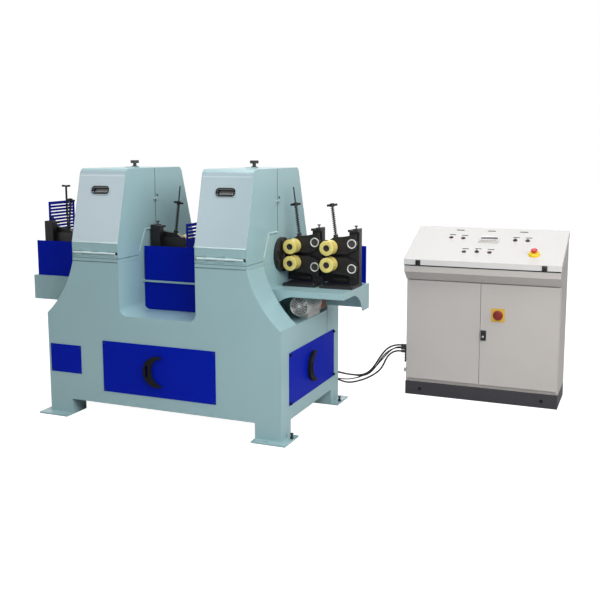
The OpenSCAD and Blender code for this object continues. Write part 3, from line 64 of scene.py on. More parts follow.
def zone_of(add, place, zone):
    """1 inside a turned box of half sizes, or within a radius of a line."""
    local = add("ShaderNodeMapping",
                {"Vector": place, "Location": zone["at"],
                 "Rotation": (zone.get("lean", 0.0), 0.0, 0.0)}, vector_type="TEXTURE")[0]
    if "radius" in zone:
        far = add("ShaderNodeVectorMath", {0: local, 1: zone["along"]},
                  operation="CROSS_PRODUCT")[0]
        off = add("ShaderNodeVectorMath", {0: far}, operation="LENGTH")["Value"]
        return add("ShaderNodeMath", {0: off, 1: zone["radius"]}, operation="LESS_THAN")[0]
    out = add("ShaderNodeVectorMath", {0: local}, operation="ABSOLUTE")[0]
    out = add("ShaderNodeVectorMath", {0: out, 1: zone["half"]}, operation="SUBTRACT")[0]
    x, y, z = add("ShaderNodeSeparateXYZ", {0: out})
    worst = add("ShaderNodeMath", {0: x, 1: y}, operation="MAXIMUM")[0]
    worst = add("ShaderNodeMath", {0: worst, 1: z}, operation="MAXIMUM")[0]
    return add("ShaderNodeMath", {0: worst, 1: 0.0}, operation="LESS_THAN")[0]


def finish(name, colour, rough, metal=0.0, coat=0.0, mottle=0.06, patch=0.45, grain=0.12,
           grain_size=0.004, edge=0.003, stretch=(1, 1, 1), shine=0.5, parts=()):
    """A finish with cloudy colour, fine grain and soft edges; parts are zones of another one."""
    paint = bpy.data.materials.new(name)
    paint.use_nodes = True
    tree = paint.node_tree
    shader = tree.nodes["Principled BSDF"]

    def add(kind, values, **settings):
        node = tree.nodes.new(kind)
        for key, value in settings.items():
            setattr(node, key, value)
        for key, value in values.items():
            if hasattr(value, "is_output"):
                tree.links.new(value, node.inputs[key])
            else:
                node.inputs[key].default_value = value
        return node.outputs

    place = add("ShaderNodeTexCoord", {})["Object"]
    tone, gloss, metallic = (*colour, 1.0), rough, metal
    for part_colour, part_rough, part_metal, zones in parts:
        inside = zone_of(add, place, zones[0])
        for zone in zones[1:]:
            more = zone_of(add, place, zone)
            inside = add("ShaderNodeMath", {0: inside, 1: more}, operation="MAXIMUM")[0]
        tone = add("ShaderNodeMix", {0: inside, 6: tone, 7: (*part_colour, 1.0)},
                   data_type="RGBA")[2]
        gloss = add("ShaderNodeMix", {0: inside, 2: gloss, 3: part_rough})[0]
        metallic = add("ShaderNodeMix", {0: inside, 2: metallic, 3: part_metal})[0]
    clouds = add("ShaderNodeTexNoise", {"Vector": place, "Scale": 1 / patch, "Detail": 5.0,
                                        "Roughness": 0.6})[0]
    drawn = add("ShaderNodeMapping", {"Vector": place, "Scale": stretch})[0]
    pores = add("ShaderNodeTexNoise", {"Vector": drawn, "Scale": 1 / grain_size, "Detail": 2.0})[0]
    light = add("ShaderNodeMapRange", {"Value": clouds, "From Min": 0.3, "From Max": 0.7,
                                       "To Min": 1 - mottle, "To Max": 1 + mottle})[0]
    speck = add("ShaderNodeMapRange", {"Value": pores, "From Min": 0.25, "From Max": 0.75,
                                       "To Min": 1 - mottle / 2, "To Max": 1 + mottle / 2})[0]
    shade = add("ShaderNodeMath", {0: light, 1: speck}, operation="MULTIPLY")[0]
    tinted = add("ShaderNodeVectorMath", {0: tone if hasattr(tone, "is_output") else colour,
                                          "Scale": shade}, operation="SCALE")[0]
    tree.links.new(tinted, shader.inputs["Base Color"])
    worn = add("ShaderNodeMapRange", {"Value": clouds, "From Min": 0.3, "From Max": 0.7,
                                      "To Min": -0.03, "To Max": 0.03})[0]
    dull = add("ShaderNodeMath", {0: gloss, 1: worn}, operation="ADD", use_clamp=True)[0]
    tree.links.new(dull, shader.inputs["Roughness"])
    if hasattr(metallic, "is_output"):
        tree.links.new(metallic, shader.inputs["Metallic"])
    else:
        shader.inputs["Metallic"].default_value = metallic
    shader.inputs["Specular IOR Level"].default_value = shine
    shader.inputs["Coat Weight"].default_value = coat
    shader.inputs["Coat Roughness"].default_value = 0.12
    rounded = add("ShaderNodeBevel", {"Radius": edge}, samples=4)[0]
    bumps = add("ShaderNodeBump", {"Height": pores, "Strength": grain, "Distance": grain_size / 8,
                                   "Normal": rounded})[0]
    tree.links.new(bumps, shader.inputs["Normal"])
    return paint


cable_sheath = finish("cable_sheath", (0.007, 0.007, 0.008), 0.5, shine=0.25, mottle=0.12,
                      patch=0.08, grain_size=0.002)
cable_routes = {
    "cable_power_upper": (0.014, [
        (905, 609, 200), (905, 624, 200), (907, 648, 198), (916, 672, 192), (936, 692, 185),
        (966, 704, 178), (1005, 719, 171), (1050, 741, 165), (1092, 764, 165), (1124, 785, 175),
        (1152, 805, 196), (1177, 823, 228), (1199, 841, 266), (1220, 858, 304), (1243, 876, 340),
        (1270, 896, 370), (1302, 920, 388), (1332, 944, 394), (1356, 955, 395), (1370, 955, 395)]),
    "cable_signal_upper": (0.010, [
        (870, 609, 200), (870, 624, 200), (872, 652, 199), (882, 682, 195), (904, 706, 188),
        (938, 722, 178), (982, 740, 167), (1030, 762, 156), (1076, 784, 150), (1114, 804, 155),
        (1146, 823, 174), (1174, 842, 205), (1198, 860, 243), (1220, 876, 282), (1244, 892, 316),
        (1272, 910, 343), (1304, 932, 362), (1332, 948, 369), (1356, 955, 370), (1370, 955, 370)]),
    "cable_power_lower": (0.014, [
        (905, 609, 150), (905, 624, 150), (907, 648, 145), (916, 672, 134), (936, 692, 120),
        (966, 708, 108), (1000, 726, 102), (1036, 750, 104), (1072, 776, 112), (1110, 798, 124),
        (1148, 818, 143), (1186, 840, 167), (1218, 858, 197), (1241, 872, 235), (1257, 886, 275),
        (1276, 905, 310), (1303, 926, 334), (1332, 944, 344), (1356, 955, 345), (1370, 955, 345)]),
    "cable_signal_lower": (0.010, [
        (870, 609, 150), (870, 624, 150), (872, 652, 147), (882, 682, 139), (904, 708, 130),
        (938, 728, 124), (982, 746, 122), (1030, 772, 128), (1074, 800, 140), (1112, 824, 158),
        (1146, 846, 184), (1176, 868, 214), (1202, 890, 246), (1226, 910, 278), (1250, 932, 310),
        (1276, 954, 338), (1304, 974, 358), (1332, 988, 368), (1356, 990, 370), (1370, 990, 370)]),
}
for name, (thick, route) in cable_routes.items():
    curve = bpy.data.curves.new(name, "CURVE")
    curve.dimensions = "3D"
    curve.bevel_depth = thick / 2
    curve.bevel_resolution = 3
    curve.resolution_u = 6
    curve.use_fill_caps = True
    line = curve.splines.new("BEZIER")
    line.bezier_points.add(len(route) - 1)
    for i, point in enumerate(route):
        knot = line.bezier_points[i]
        knot.co = Vector(point) / 1000
        knot.handle_left_type = knot.handle_right_type = "AUTO"
    cable = bpy.data.objects.new(name, curve)
    bpy.context.scene.collection.objects.link(cable)
    curve.materials.append(cable_sheath)
    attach(cable, "machine")
    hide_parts("control_cables")

# Cable glands: black polyamide nuts in a plate on the base's back and in the
# console's side. Each is screwed tight on its cable.


def dress(paint, *names):
    """The CAD nodes take this finish."""
    for node_name in names:
        nodes[node_name].data.materials.clear()
        nodes[node_name].data.materials.append(paint)


dress(finish("gland_polyamide", (0.02, 0.02, 0.02), 0.5, mottle=0.1, patch=0.05), "cable_glands")

# Base frame: welded and folded sheet on four leg boxes, sprayed in light teal
# enamel. The hoods, the shelves and the saddle have the same paint.

TEAL = (0.30, 0.465, 0.49)
teal = {"colour": TEAL, "rough": 0.32, "coat": 0.3, "mottle": 0.02, "grain": 0.03, "edge": 0.006}
dress(finish("base_enamel", **teal), "base_frame", "shelf_left", "shelf_right")

# Levelling bolts: black jack screws with lock nuts, one in each foot
# plate, that set the machine level on its floor.

dress(finish("bolt_black", (0.035, 0.034, 0.036), 0.4, metal=0.5, mottle=0.15, patch=0.02),
      "levelling_bolts")

# Blue panels: sheet in deep blue enamel over the windows in the base. The
# large ones lift off by a crescent pull moulded in black plastic.

BLUE = (0.0005, 0.011, 0.36)
blue = {"colour": BLUE, "rough": 0.38, "shine": 0.06, "mottle": 0.05, "grain": 0.05, "edge": 0.003}
BLACK = (0.012, 0.012, 0.014)
front_pull = {"at": (-0.003, -0.5825, 0.405), "half": (0.125, 0.0133, 0.125)}
end_pull = {"at": (0.9775, 0.016, 0.4085), "half": (0.0133, 0.46, 0.20)}
dress(finish("small_panel_enamel", **blue), "small_panel")
dress(finish("front_panel_enamel", parts=[(BLACK, 0.4, 0.0, [front_pull])], **blue), "front_panel")
dress(finish("end_panel_enamel", parts=[(BLACK, 0.4, 0.0, [end_pull])], **blue), "end_panel")

panel_screw = finish("panel_screw", (0.02, 0.02, 0.024), 0.35, metal=0.6, mottle=0.1, patch=0.01)


def turned(mesh, profile, spot, steps=32):
    """A shape turned from a closed profile of radius and height, set in its place."""
    before = set(mesh.verts)
    corners = [mesh.verts.new((r, 0.0, h)) for r, h in profile]
    sides = [mesh.edges.new((a, b)) for a, b in zip(corners, corners[1:] + corners[:1])]
    bmesh.ops.spin(mesh, geom=corners + sides, axis=(0, 0, 1), cent=(0, 0, 0), steps=steps,
                   angle=2 * math.pi, use_merge=True)
    bmesh.ops.remove_doubles(mesh, verts=[v for v in mesh.verts if v not in before], dist=1e-6)
    bmesh.ops.transform(mesh, matrix=spot, verts=[v for v in mesh.verts if v not in before])


def slab(mesh, size, spot, bevel=0.001, segments=2):
    """A block of full sizes with rounded edges, centred on a place."""
    before = set(mesh.verts)
    made = bmesh.ops.create_cube(mesh, size=1.0, matrix=Matrix.Diagonal((*size, 1.0)))["verts"]
    edges = list({e for v in made for e in v.link_edges})
    bmesh.ops.bevel(mesh, geom=edges, offset=bevel, segments=segments, profile=0.5, affect="EDGES",
                    material=-1)
    bmesh.ops.transform(mesh, matrix=spot, verts=[v for v in mesh.verts if v not in before])


def facing(place, along=(0, 0, 1)):
    """A place whose local height points along a direction."""
    return Matrix.Translation(place) @ Vector(along).to_track_quat("Z", "Y").to_matrix().to_4x4()


SHARP_ANGLE = 0.7


def fitted(name, mesh, paint, body, slot, *stands_for):
    """The finished piece, with sharp edges kept, on its body."""
    bmesh.ops.recalc_face_normals(mesh, faces=mesh.faces)
    for f in mesh.faces:
        f.smooth = True
    for e in mesh.edges:
        e.smooth = len(e.link_faces) == 2 and e.calc_face_angle() < SHARP_ANGLE
    data = bpy.data.meshes.new(name)
    mesh.to_mesh(data)
    mesh.free()
    data.materials.append(paint)
    piece = bpy.data.objects.new(name, data)
    bpy.context.scene.collection.objects.link(piece)
    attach(piece, body)
    if stands_for:
        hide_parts(*stands_for)
    return piece


def ring_edge(mesh, half, radius, width, thick, spot):
    """A flat frame round a rounded opening, upright in its place, facing -y."""
    before = set(mesh.verts)
    flat = Matrix.Rotation(math.pi / 2, 4, "X") @ Matrix.Diagonal((half[0], half[1], 1.0, 1.0))
    corners = bmesh.ops.create_grid(mesh, x_segments=1, y_segments=1, size=1.0,
                                    matrix=flat)["verts"]
    bmesh.ops.bevel(mesh, geom=corners, offset=radius, segments=7, profile=0.5, affect="VERTICES",
                    material=-1)
    sheet = [f for f in mesh.faces if all(v not in before for v in f.verts)]
    bmesh.ops.inset_region(mesh, faces=sheet, thickness=width, use_even_offset=True,
                           use_boundary=True)
    bmesh.ops.delete(mesh, geom=sheet, context="FACES")
    ring = [f for f in mesh.faces if all(v not in before for v in f.verts)]
    raised = bmesh.ops.extrude_face_region(mesh, geom=ring, use_keep_orig=True)["geom"]
    bmesh.ops.translate(mesh, vec=(0, thick, 0),
                        verts=[v for v in raised if isinstance(v, bmesh.types.BMVert)])
    bmesh.ops.transform(mesh, matrix=spot @ Matrix.Translation((0, -thick / 2, 0)),
                        verts=[v for v in mesh.verts if v not in before])


panel_face = -0.569
screw_head = [(0.0, 0.0), (0.006, 0.0), (0.006, 0.0012), (0.0045, 0.003), (0.0022, 0.0034),
              (0.0018, 0.0016), (0.0, 0.0016)]
heads = bmesh.new()
for x, z in [(-0.925, 0.339), (-0.682, 0.339), (-0.925, 0.522), (-0.682, 0.522)]:
    turned(heads, screw_head, facing((x, panel_face, z), (0, -1, 0)), 16)
fitted("small_panel_screws", heads, panel_screw, "machine", "steel_dark")
heads = bmesh.new()
for x, z in [(-0.455, 0.230), (0.449, 0.230), (-0.455, 0.580), (0.449, 0.580)]:
    turned(heads, screw_head, facing((x, panel_face, z), (0, -1, 0)), 16)
fitted("front_panel_screws", heads, panel_screw, "front_panel", "steel_dark")

# Hoods and covers: folded sheet over each head in the base's enamel. The front
# half is a cover that swings forward on a hinge along its foot. The strip along
# its lower bend stands proud and is painted pale: a painted highlight. Its hinge,
# roof fold and side trims carry painted highlights, its front a painted reflection.

# The hinge barrel along the covers' foot is painted a lighter teal: a painted highlight.
hinge_highlight = {"at": (0, -0.573, 1.243), "along": (1, 0, 0), "radius": 0.0092}
cover_lean = -math.atan2(0.136, 0.532)
HOOD_X = 0.513
cup_y, cup_z = -0.4691, 1.693
cups = [{"at": (side * HOOD_X, cup_y, cup_z), "half": (wide, 0.0262, high), "lean": cover_lean}
        for side in (-1, 1) for wide, high in ((0.0735, 0.0080), (0.0715, 0.0150), (0.0670, 0.0205),
                                               (0.0600, 0.0260), (0.0500, 0.0285))]
# A narrow band under the roof's front bend is painted paler: a painted highlight.
roof_fold_highlights = [{"at": (side * HOOD_X, -0.4423, 1.798), "half": (0.1900, 0.0050, 0.0040),
          "lean": cover_lean} for side in (-1, 1)]
HINGE_HIGHLIGHT_TEAL = (0.52, 0.66, 0.67)
TRIM_HIGHLIGHT_TEAL = (0.42, 0.60, 0.62)
REFLECTION_TEAL = (0.33, 0.435, 0.48)
FOLD_HIGHLIGHT_TEAL = (0.43, 0.54, 0.58)
# The leaning cover fronts are painted greyer than the enamel: a painted reflection of the bright
# surround.
front_reflections = [{"at": (side * HOOD_X, -0.498, 1.58), "half": (0.1975, 0.005, 0.262), "lean": cover_lean}
          for side in (-1, 1)]
# The raised trims on the hood sides are painted paler: a painted highlight along them.
trim_highlights = [{"at": (x, -0.25, 1.34), "half": (0.0016, 0.30, 0.20)}
         for x in (-0.7139, -0.3121, 0.3121, 0.7139)]
dress(finish("hood_enamel_painted_highlight", parts=[(HINGE_HIGHLIGHT_TEAL, 0.38, 0.0, [hinge_highlight])], **teal),
      "hood_body_left", "hood_body_right")
dress(finish("cover_enamel_painted_light", parts=[(HINGE_HIGHLIGHT_TEAL, 0.38, 0.0, [hinge_highlight]),
                                    (TRIM_HIGHLIGHT_TEAL, 0.3, 0.0, trim_highlights), (REFLECTION_TEAL, 0.32, 0.0, front_reflections),
                                    (FOLD_HIGHLIGHT_TEAL, 0.3, 0.0, roof_fold_highlights), (BLACK, 0.5, 0.0, cups)], **teal),
      "cover_left", "cover_right")

# The fold strip's pale colour is a painted highlight.
fold_highlight_paint = finish("fold_painted_highlight", (0.66, 0.80, 0.82), 0.26, coat=0.4, mottle=0.05, patch=0.06)
seam_and_shadow_black = finish("seam_and_shadow_black", (0.02, 0.028, 0.03), 0.7, shine=0.2, mottle=0.15, patch=0.03)
pull_black = finish("pull_black", (0.006, 0.006, 0.007), 0.55, shine=0.2, mottle=0.1, patch=0.03)
catch_steel = finish("catch_steel", (0.50, 0.52, 0.52), 0.34, metal=0.7, mottle=0.1, patch=0.02)
knob_plastic = finish("knob_plastic", (0.015, 0.015, 0.016), 0.36, mottle=0.12, patch=0.03)
dress(knob_plastic, "star_knob_left", "star_knob_right")
for side, word in ((-1, "left"), (1, "right")):
    body = "cover_" + word
    strips = bmesh.new()
    slab(strips, (0.392, 0.005, 0.008), Matrix.Translation((side * HOOD_X, -0.5655, 1.318)), 0.002)
    fitted("fold_strip_" + word, strips, fold_highlight_paint, body, "paint_teal")
    pull = bmesh.new()
    lean = Matrix.Translation((side * HOOD_X, cup_y, cup_z)) @ Matrix.Rotation(cover_lean, 4, "X")
    slab(pull, (0.104, 0.003, 0.009), lean @ Matrix.Translation((0, 0.010, -0.012))
         @ Matrix.Rotation(0.5, 4, "X"), 0.0014)
    fitted("pull_flap_" + word, pull, catch_steel, body, "steel_bright")
    frame_ring = bmesh.new()
    ring_edge(frame_ring, (0.0758, 0.0308), 0.0270, 0.0060, 0.003,
              lean @ Matrix.Translation((0, -0.0036, 0)))
    fitted("pull_frame_" + word, frame_ring, pull_black, body, "knob_black")
    gaskets = bmesh.new()
    for x in (side * 0.7120, side * 0.3140):
        slab(gaskets, (0.0014, 0.0044, 0.460), Matrix.Translation((x, -0.0485, 1.6175)), 0.0003, 1)
    slab(gaskets, (0.390, 0.0028, 0.0014), Matrix.Translation((side * HOOD_X, -0.0485, 1.8490)),
         0.0003, 1)
    slab(gaskets, (0.388, 0.0014, 0.0028), Matrix.Translation((side * HOOD_X, -0.5645, 1.2035)),
         0.0003, 1)
    slab(gaskets, (0.394, 0.0010, 0.0036), Matrix.Translation((side * HOOD_X, -0.5653, 1.1780)),
         0.0003, 1)
    fitted("seam_gaskets_" + word, gaskets, seam_and_shadow_black, "machine", "gland_black")
    hasps = bmesh.new()
    dots = bmesh.new()
    for x, out in ((side * 0.720, side), (side * 0.306, -side)):
        slab(hasps, (0.004, 0.030, 0.014), Matrix.Translation((x + out * 0.0015, -0.064, 1.611)),
             0.0012)
        turned(dots, screw_head, facing((x + out * 0.0033, -0.066, 1.611), (out, 0, 0)), 16)
    fitted("catch_hasp_" + word, hasps, catch_steel, body, "steel_bright")
    fitted("catch_screw_" + word, dots, panel_screw, body, "steel_dark")
    buttons = bmesh.new()
    for x, out in ((side * 0.712, side), (side * 0.314, -side)):
        turned(buttons, [(0.0, 0.0), (0.008, 0.0), (0.008, 0.004), (0.0055, 0.0065), (0.0, 0.0065)],
               facing((x, -0.022, 1.640), (out, 0, 0)), 20)
    fitted("catch_peg_" + word, buttons, knob_plastic, "machine", "knob_black")
    foot = bmesh.new()
    turned(foot, [(0.0120, 0.0), (0.0265, 0.0), (0.0265, 0.0024), (0.0190, 0.0048),
                  (0.0120, 0.0058)], facing((side * HOOD_X, -0.014, 1.8569)), 32)
    fitted("knob_foot_" + word, foot, knob_plastic, "star_knob_" + word, "knob_black")

# Heads: a turned rotor in each hood carries two abrasive belts around the bar.
# Black flanges close the head's sides and a grey motor drives it from below.

BAR_Z = 1.225
BELT = (0.16, 0.065, 0.03)
belts = [{"at": (side * 0.476, 0, BAR_Z), "half": (0.0305, 0.160, 0.125)} for side in (-1, 1)]
pulleys = [{"at": (0, y, BAR_Z + z), "along": (1, 0, 0), "radius": 0.0352}
           for y in (-0.12, 0.12) for z in (-0.078, 0.078)]
dress(finish("rotor_steel", (0.5, 0.5, 0.48), 0.32, metal=0.9, mottle=0.1, patch=0.1,
             parts=[(BELT, 0.85, 0.0, belts), ((0.5, 0.5, 0.48), 0.3, 0.9, pulleys)]), "head_left",
      "head_right")
CAST = (0.013, 0.012, 0.014)
cast = {"colour": CAST, "rough": 0.42, "metal": 0.25, "mottle": 0.25, "patch": 0.06, "grain": 0.35,
        "edge": 0.002}
flange_black = finish("flange_cast", **cast)
dress(flange_black, "head_flanges")
nuts = bmesh.new()
nut_circle = 0.111
for x, out in ((0.740, 1), (0.286, -1), (-0.286, 1), (-0.740, -1)):
    for i in range(8):
        a = math.radians(22.5 + 45 * i)
        turned(nuts, [(0.0, 0.0), (0.0115, 0.0), (0.0115, 0.0060), (0.0100, 0.0074), (0.0, 0.0074)],
               facing((x, nut_circle * math.cos(a), BAR_Z + nut_circle * math.sin(a)), (out, 0, 0)),
               6)
fitted("flange_nuts", nuts, flange_black, "machine", "steel_dark")
drive_belts = [{"at": (side * 0.375, 0.09, 0.86), "half": (0.0195, 0.30, 0.60)} for side in (-1, 1)]
dress(finish("motor_grey", (0.30, 0.31, 0.31), 0.45, metal=0.2, mottle=0.12, patch=0.1, grain=0.3,
             parts=[((0.02, 0.02, 0.02), 0.7, 0.0, drive_belts)]), "head_drives")

# Guards: blue sheet plates on the shelves, and upright plates across the bar
# with a hole for it and rows of louvres.

dark_half = {"at": (-1.301, 0.085, 1.14), "half": (0.01, 0.3, 0.14)}
dress(finish("guard_enamel", parts=[(BLACK, 0.5, 0.0, [dark_half])], **blue), "guard_left",
      "guard_right", "guard_middle")

# Feed units: in each, two black swing arms on pins in an upright, one above and
# one below the bar. The light rings on the arms are their bearings' collars.

oiled = finish("arm_black", (0.014, 0.012, 0.013), 0.4, metal=0.35, mottle=0.3, patch=0.05,
               grain=0.4, edge=0.002)
rod_x, rod_y = -1.2281, 0.0565
rod = {"at": (rod_x, rod_y, 1.3), "along": (0, 0, 1), "radius": 0.0062}
dress(finish("frame_black", parts=[((0.05, 0.05, 0.052), 0.35, 0.6, [rod])], **cast), "feed_frames")
collar_steel = finish("collar_steel", (0.66, 0.66, 0.62), 0.36, metal=0.55, mottle=0.12, patch=0.02)
seal_black = finish("seal_black", (0.03, 0.028, 0.03), 0.5, mottle=0.2, patch=0.02)
tyre_skin = finish("tyre_polyurethane", (0.67, 0.56, 0.165), 0.42, coat=0.1, mottle=0.16,
                   patch=0.06, grain=0.2)
hub_black = finish("hub_black", (0.02, 0.016, 0.02), 0.4, metal=0.3, mottle=0.2, patch=0.02)
web_black = finish("web_black", (0.008, 0.007, 0.008), 0.5, shine=0.3, mottle=0.3, patch=0.05,
                   grain=0.3, edge=0.002)
spring_steel = finish("spring_steel", (0.030, 0.030, 0.034), 0.35, metal=0.7, mottle=0.15,
                      patch=0.02, edge=0.0008)
screw_black = finish("screw_black", (0.016, 0.015, 0.016), 0.38, metal=0.5, mottle=0.2, patch=0.03,
                     grain=0.5, grain_size=0.002, stretch=(0.2, 0.2, 1.0), edge=0.0015)

ring_profile = [(0.0256, 0.0), (0.0345, 0.0), (0.0345, 0.0018), (0.0330, 0.0034), (0.0272, 0.0034),
                (0.0256, 0.0022)]
pin_profile = [(0.0, 0.0), (0.0245, 0.0), (0.0245, 0.0008), (0.0225, 0.0024), (0.0115, 0.0024),
               (0.0095, 0.0008), (0.0075, 0.0008), (0.0065, 0.0020), (0.0, 0.0020)]
seal_profile = [(0.0155, 0.0), (0.0248, 0.0), (0.0248, 0.0038), (0.0230, 0.0046), (0.0175, 0.0046),
                (0.0155, 0.0036)]
tyre_profile = [(0.0232, -0.0475), (0.0490, -0.0475), (0.0515, -0.0468), (0.0533, -0.0450),
                (0.0540, -0.0425)]
tyre_profile += [(0.054 - 0.005 * (1 - (t / 0.0425) ** 2), t)
                 for t in (-0.032, -0.021, -0.010, 0.0, 0.010, 0.021, 0.032)]
tyre_profile += [(r, -y) for r, y in reversed(tyre_profile[:5])]
hub_profile = [(0.0, -0.0330), (0.0085, -0.0330), (0.0085, -0.0420), (0.0100, -0.0430),
               (0.0150, -0.0430), (0.0158, -0.0418), (0.0195, -0.0418), (0.0232, -0.0445),
               (0.0232, 0.0475), (0.0150, 0.0475), (0.0150, 0.0932), (0.0140, 0.0940),
               (0.0, 0.0940)]
socket_screw = [(0.0, 0.0), (0.0085, 0.0), (0.0085, 0.0070), (0.0078, 0.0080), (0.0042, 0.0080),
                (0.0042, 0.0040), (0.0, 0.0040)]
grip_profile = [(0.0, 0.0), (0.0068, 0.0), (0.0086, 0.0018), (0.0086, 0.0225), (0.0068, 0.0252),
                (0.0, 0.0258)]
rod_grips = bmesh.new()
for out in (-1, 1):
    turned(rod_grips, grip_profile, facing((rod_x + out * 0.0140, rod_y, 1.694), (out, 0, 0)), 24)
turned(rod_grips, [(0.0, 0.0), (0.0082, 0.0), (0.0082, 0.236), (0.0, 0.236)],
       facing((rod_x, rod_y, 1.455)), 24)
fitted("lift_rod_grips", rod_grips, screw_black, "machine", "steel_dark")
ROLLER_UP = 0.061
PIVOT_X, PIVOT_UP = 0.160, 0.090
units = {"right_1": (0.804, 0.0), "right_2": (1.088, 0.0), "middle": (-0.095, math.pi),
         "left": (-1.090, math.pi)}
for unit, (unit_x, unit_turn) in units.items():
    stand = Matrix.Translation((unit_x, 0.0, BAR_Z)) @ Matrix.Rotation(unit_turn, 4, "Z")
    dress(oiled, "upper_arm_" + unit, "lower_arm_" + unit)
    dress(screw_black, "tension_screw_" + unit)
    pins = bmesh.new()
    for up, half in ((1, "upper"), (-1, "lower")):
        arm = half + "_arm_" + unit
        rings = bmesh.new()
        turned(rings, ring_profile, stand @ facing((PIVOT_X, 0.0430, up * PIVOT_UP), (0, -1, 0)),
               40)
        turned(rings, ring_profile, stand @ facing((0.0, 0.0970, up * ROLLER_UP), (0, 1, 0)), 40)
        fitted("collars_" + arm, rings, collar_steel, arm, "steel_bright")
        seals = bmesh.new()
        turned(seals, seal_profile, stand @ facing((0.0, 0.0882, up * ROLLER_UP), (0, 1, 0)), 32)
        fitted("seal_" + arm, seals, seal_black, arm, "steel_dark")
        turned(pins, pin_profile, stand @ facing((PIVOT_X, 0.0460, up * PIVOT_UP), (0, -1, 0)), 32)
        roller = half + "_roller_" + unit
        axle = stand @ facing((0.0, 0.0, up * ROLLER_UP), (0, 1, 0))
        tyre = bmesh.new()
        turned(tyre, tyre_profile, axle, 64)
        fitted("tyre_" + roller, tyre, tyre_skin, roller, "roller_yellow", roller)
        hub = bmesh.new()
        turned(hub, hub_profile, axle, 40)
        fitted("hub_" + roller, hub, hub_black, roller, "steel_dark", roller)
    fitted("pin_caps_" + unit, pins, seal_black, "machine", "steel_dark")
    bolts = bmesh.new()
    for x, y in ((-0.034, -0.046), (0.186, -0.046), (-0.034, 0.144), (0.060, 0.144)):
        turned(bolts, socket_screw, stand @ facing((x, y, -0.205)), 20)
    fitted("base_screws_" + unit, bolts, screw_black, "machine", "steel_dark")
    web = bmesh.new()
    slab(web, (0.199, 0.010, 0.305), stand @ Matrix.Translation((0.0245, 0.109, -0.0485)), 0.003)
    slab(web, (0.110, 0.016, 0.030), stand @ Matrix.Translation((0.058, 0.1045, -0.184)), 0.004)
    for x, z in ((-0.062, -0.17), (-0.062, 0.085), (0.105, 0.085), (0.105, -0.11)):
        turned(web, socket_screw, stand @ facing((x, 0.1042, z), (0, -1, 0)), 18)
    fitted("web_plate_" + unit, web, web_black, "machine", "steel_dark")
    lean = (stand @ Matrix.Translation((0.0304, 0.070, 0.135))
            @ Matrix.Rotation(math.radians(-7.4), 4, "Y"))
    grips = bmesh.new()
    for out in (-1, 1):
        turned(grips, grip_profile, lean @ facing((out * 0.0140, 0.0, 0.229), (out, 0, 0)), 24)
    fitted("grips_" + unit, grips, screw_black, "tension_screw_" + unit, "steel_dark")
    coil = bmesh.new()
    curls, around, wire, low, high = 14, 18, 0.0029, 0.0188, 0.2128
    bmesh.ops.create_circle(coil, segments=8, radius=wire,
                            matrix=Matrix.Translation((0.0115, 0, low))
                            @ Matrix.Rotation(math.pi / 2, 4, "X"))
    bmesh.ops.spin(coil, geom=coil.verts[:] + coil.edges[:], axis=(0, 0, 1), cent=(0, 0, 0),
                   dvec=(0, 0, (high - low) / (curls * around)), steps=curls * around,
                   angle=2 * math.pi * curls)
    bmesh.ops.holes_fill(coil, edges=[e for e in coil.edges if e.is_boundary])
    bmesh.ops.transform(coil, matrix=lean, verts=coil.verts)
    fitted("spring_coil_" + unit, coil, spring_steel, "upper_arm_" + unit, "steel_bright",
           "tension_spring_" + unit)

# Feed motor: a small finned motor hangs under the right shelf, with a round
# pressed grille over its fan and a gearbox still in its red-brown primer.

MOTOR_X, MOTOR_Z = 0.942, 0.883
gearbox = {"at": (MOTOR_X, 0.125, MOTOR_Z), "half": (0.065, 0.0545, 0.075)}
# Within the grille's radius the motor's end is painted black: the dark fan behind it, and painted
# shade inside the cowl.
inside = {"at": (MOTOR_X, -0.17, MOTOR_Z), "along": (0, 1, 0), "radius": 0.0655}
motor_paint = finish("feed_motor_grey", (0.52, 0.53, 0.51), 0.35, metal=0.45, mottle=0.12,
                     patch=0.06, grain=0.25,
                     parts=[(BLACK, 0.6, 0.0, [inside]),
                            ((0.20, 0.075, 0.035), 0.6, 0.0, [gearbox])])
dress(motor_paint, "feed_motor")
dress(finish("fan_plastic", (0.012, 0.012, 0.012), 0.55, mottle=0.1, patch=0.05), "motor_fan")
wires = bmesh.new()
for radius in (0.0230, 0.0335, 0.0440, 0.0540, 0.0635):
    turned(wires, [(radius - 0.0017, 0.0), (radius, 0.0017), (radius + 0.0017, 0.0),
                   (radius, -0.0017)], facing((MOTOR_X, -0.1995, MOTOR_Z), (0, -1, 0)), 48)
for i in range(16):
    spoke = (Matrix.Translation((MOTOR_X, -0.1995, MOTOR_Z))
             @ Matrix.Rotation(math.pi * (2 * i + 1) / 16, 4, "Y"))
    slab(wires, (0.056, 0.0022, 0.0026), spoke @ Matrix.Translation((0.038, 0.0, 0.0)), 0.0004, 1)
turned(wires, [(0.0, 0.0), (0.0125, 0.0), (0.0115, 0.0020), (0.0, 0.0026)],
       facing((MOTOR_X, -0.1990, MOTOR_Z), (0, -1, 0)), 32)
fitted("fan_grille_wires", wires, finish("grille_steel", (0.62, 0.63, 0.61), 0.3, metal=0.7,
                                         mottle=0.08, patch=0.03), "machine", "steel_bright")

# Console: folded sheet cabinet on a dark plinth, powder-coated in light grey.
# Two doors, the right one with the lock and the main switch on a yellow plate.

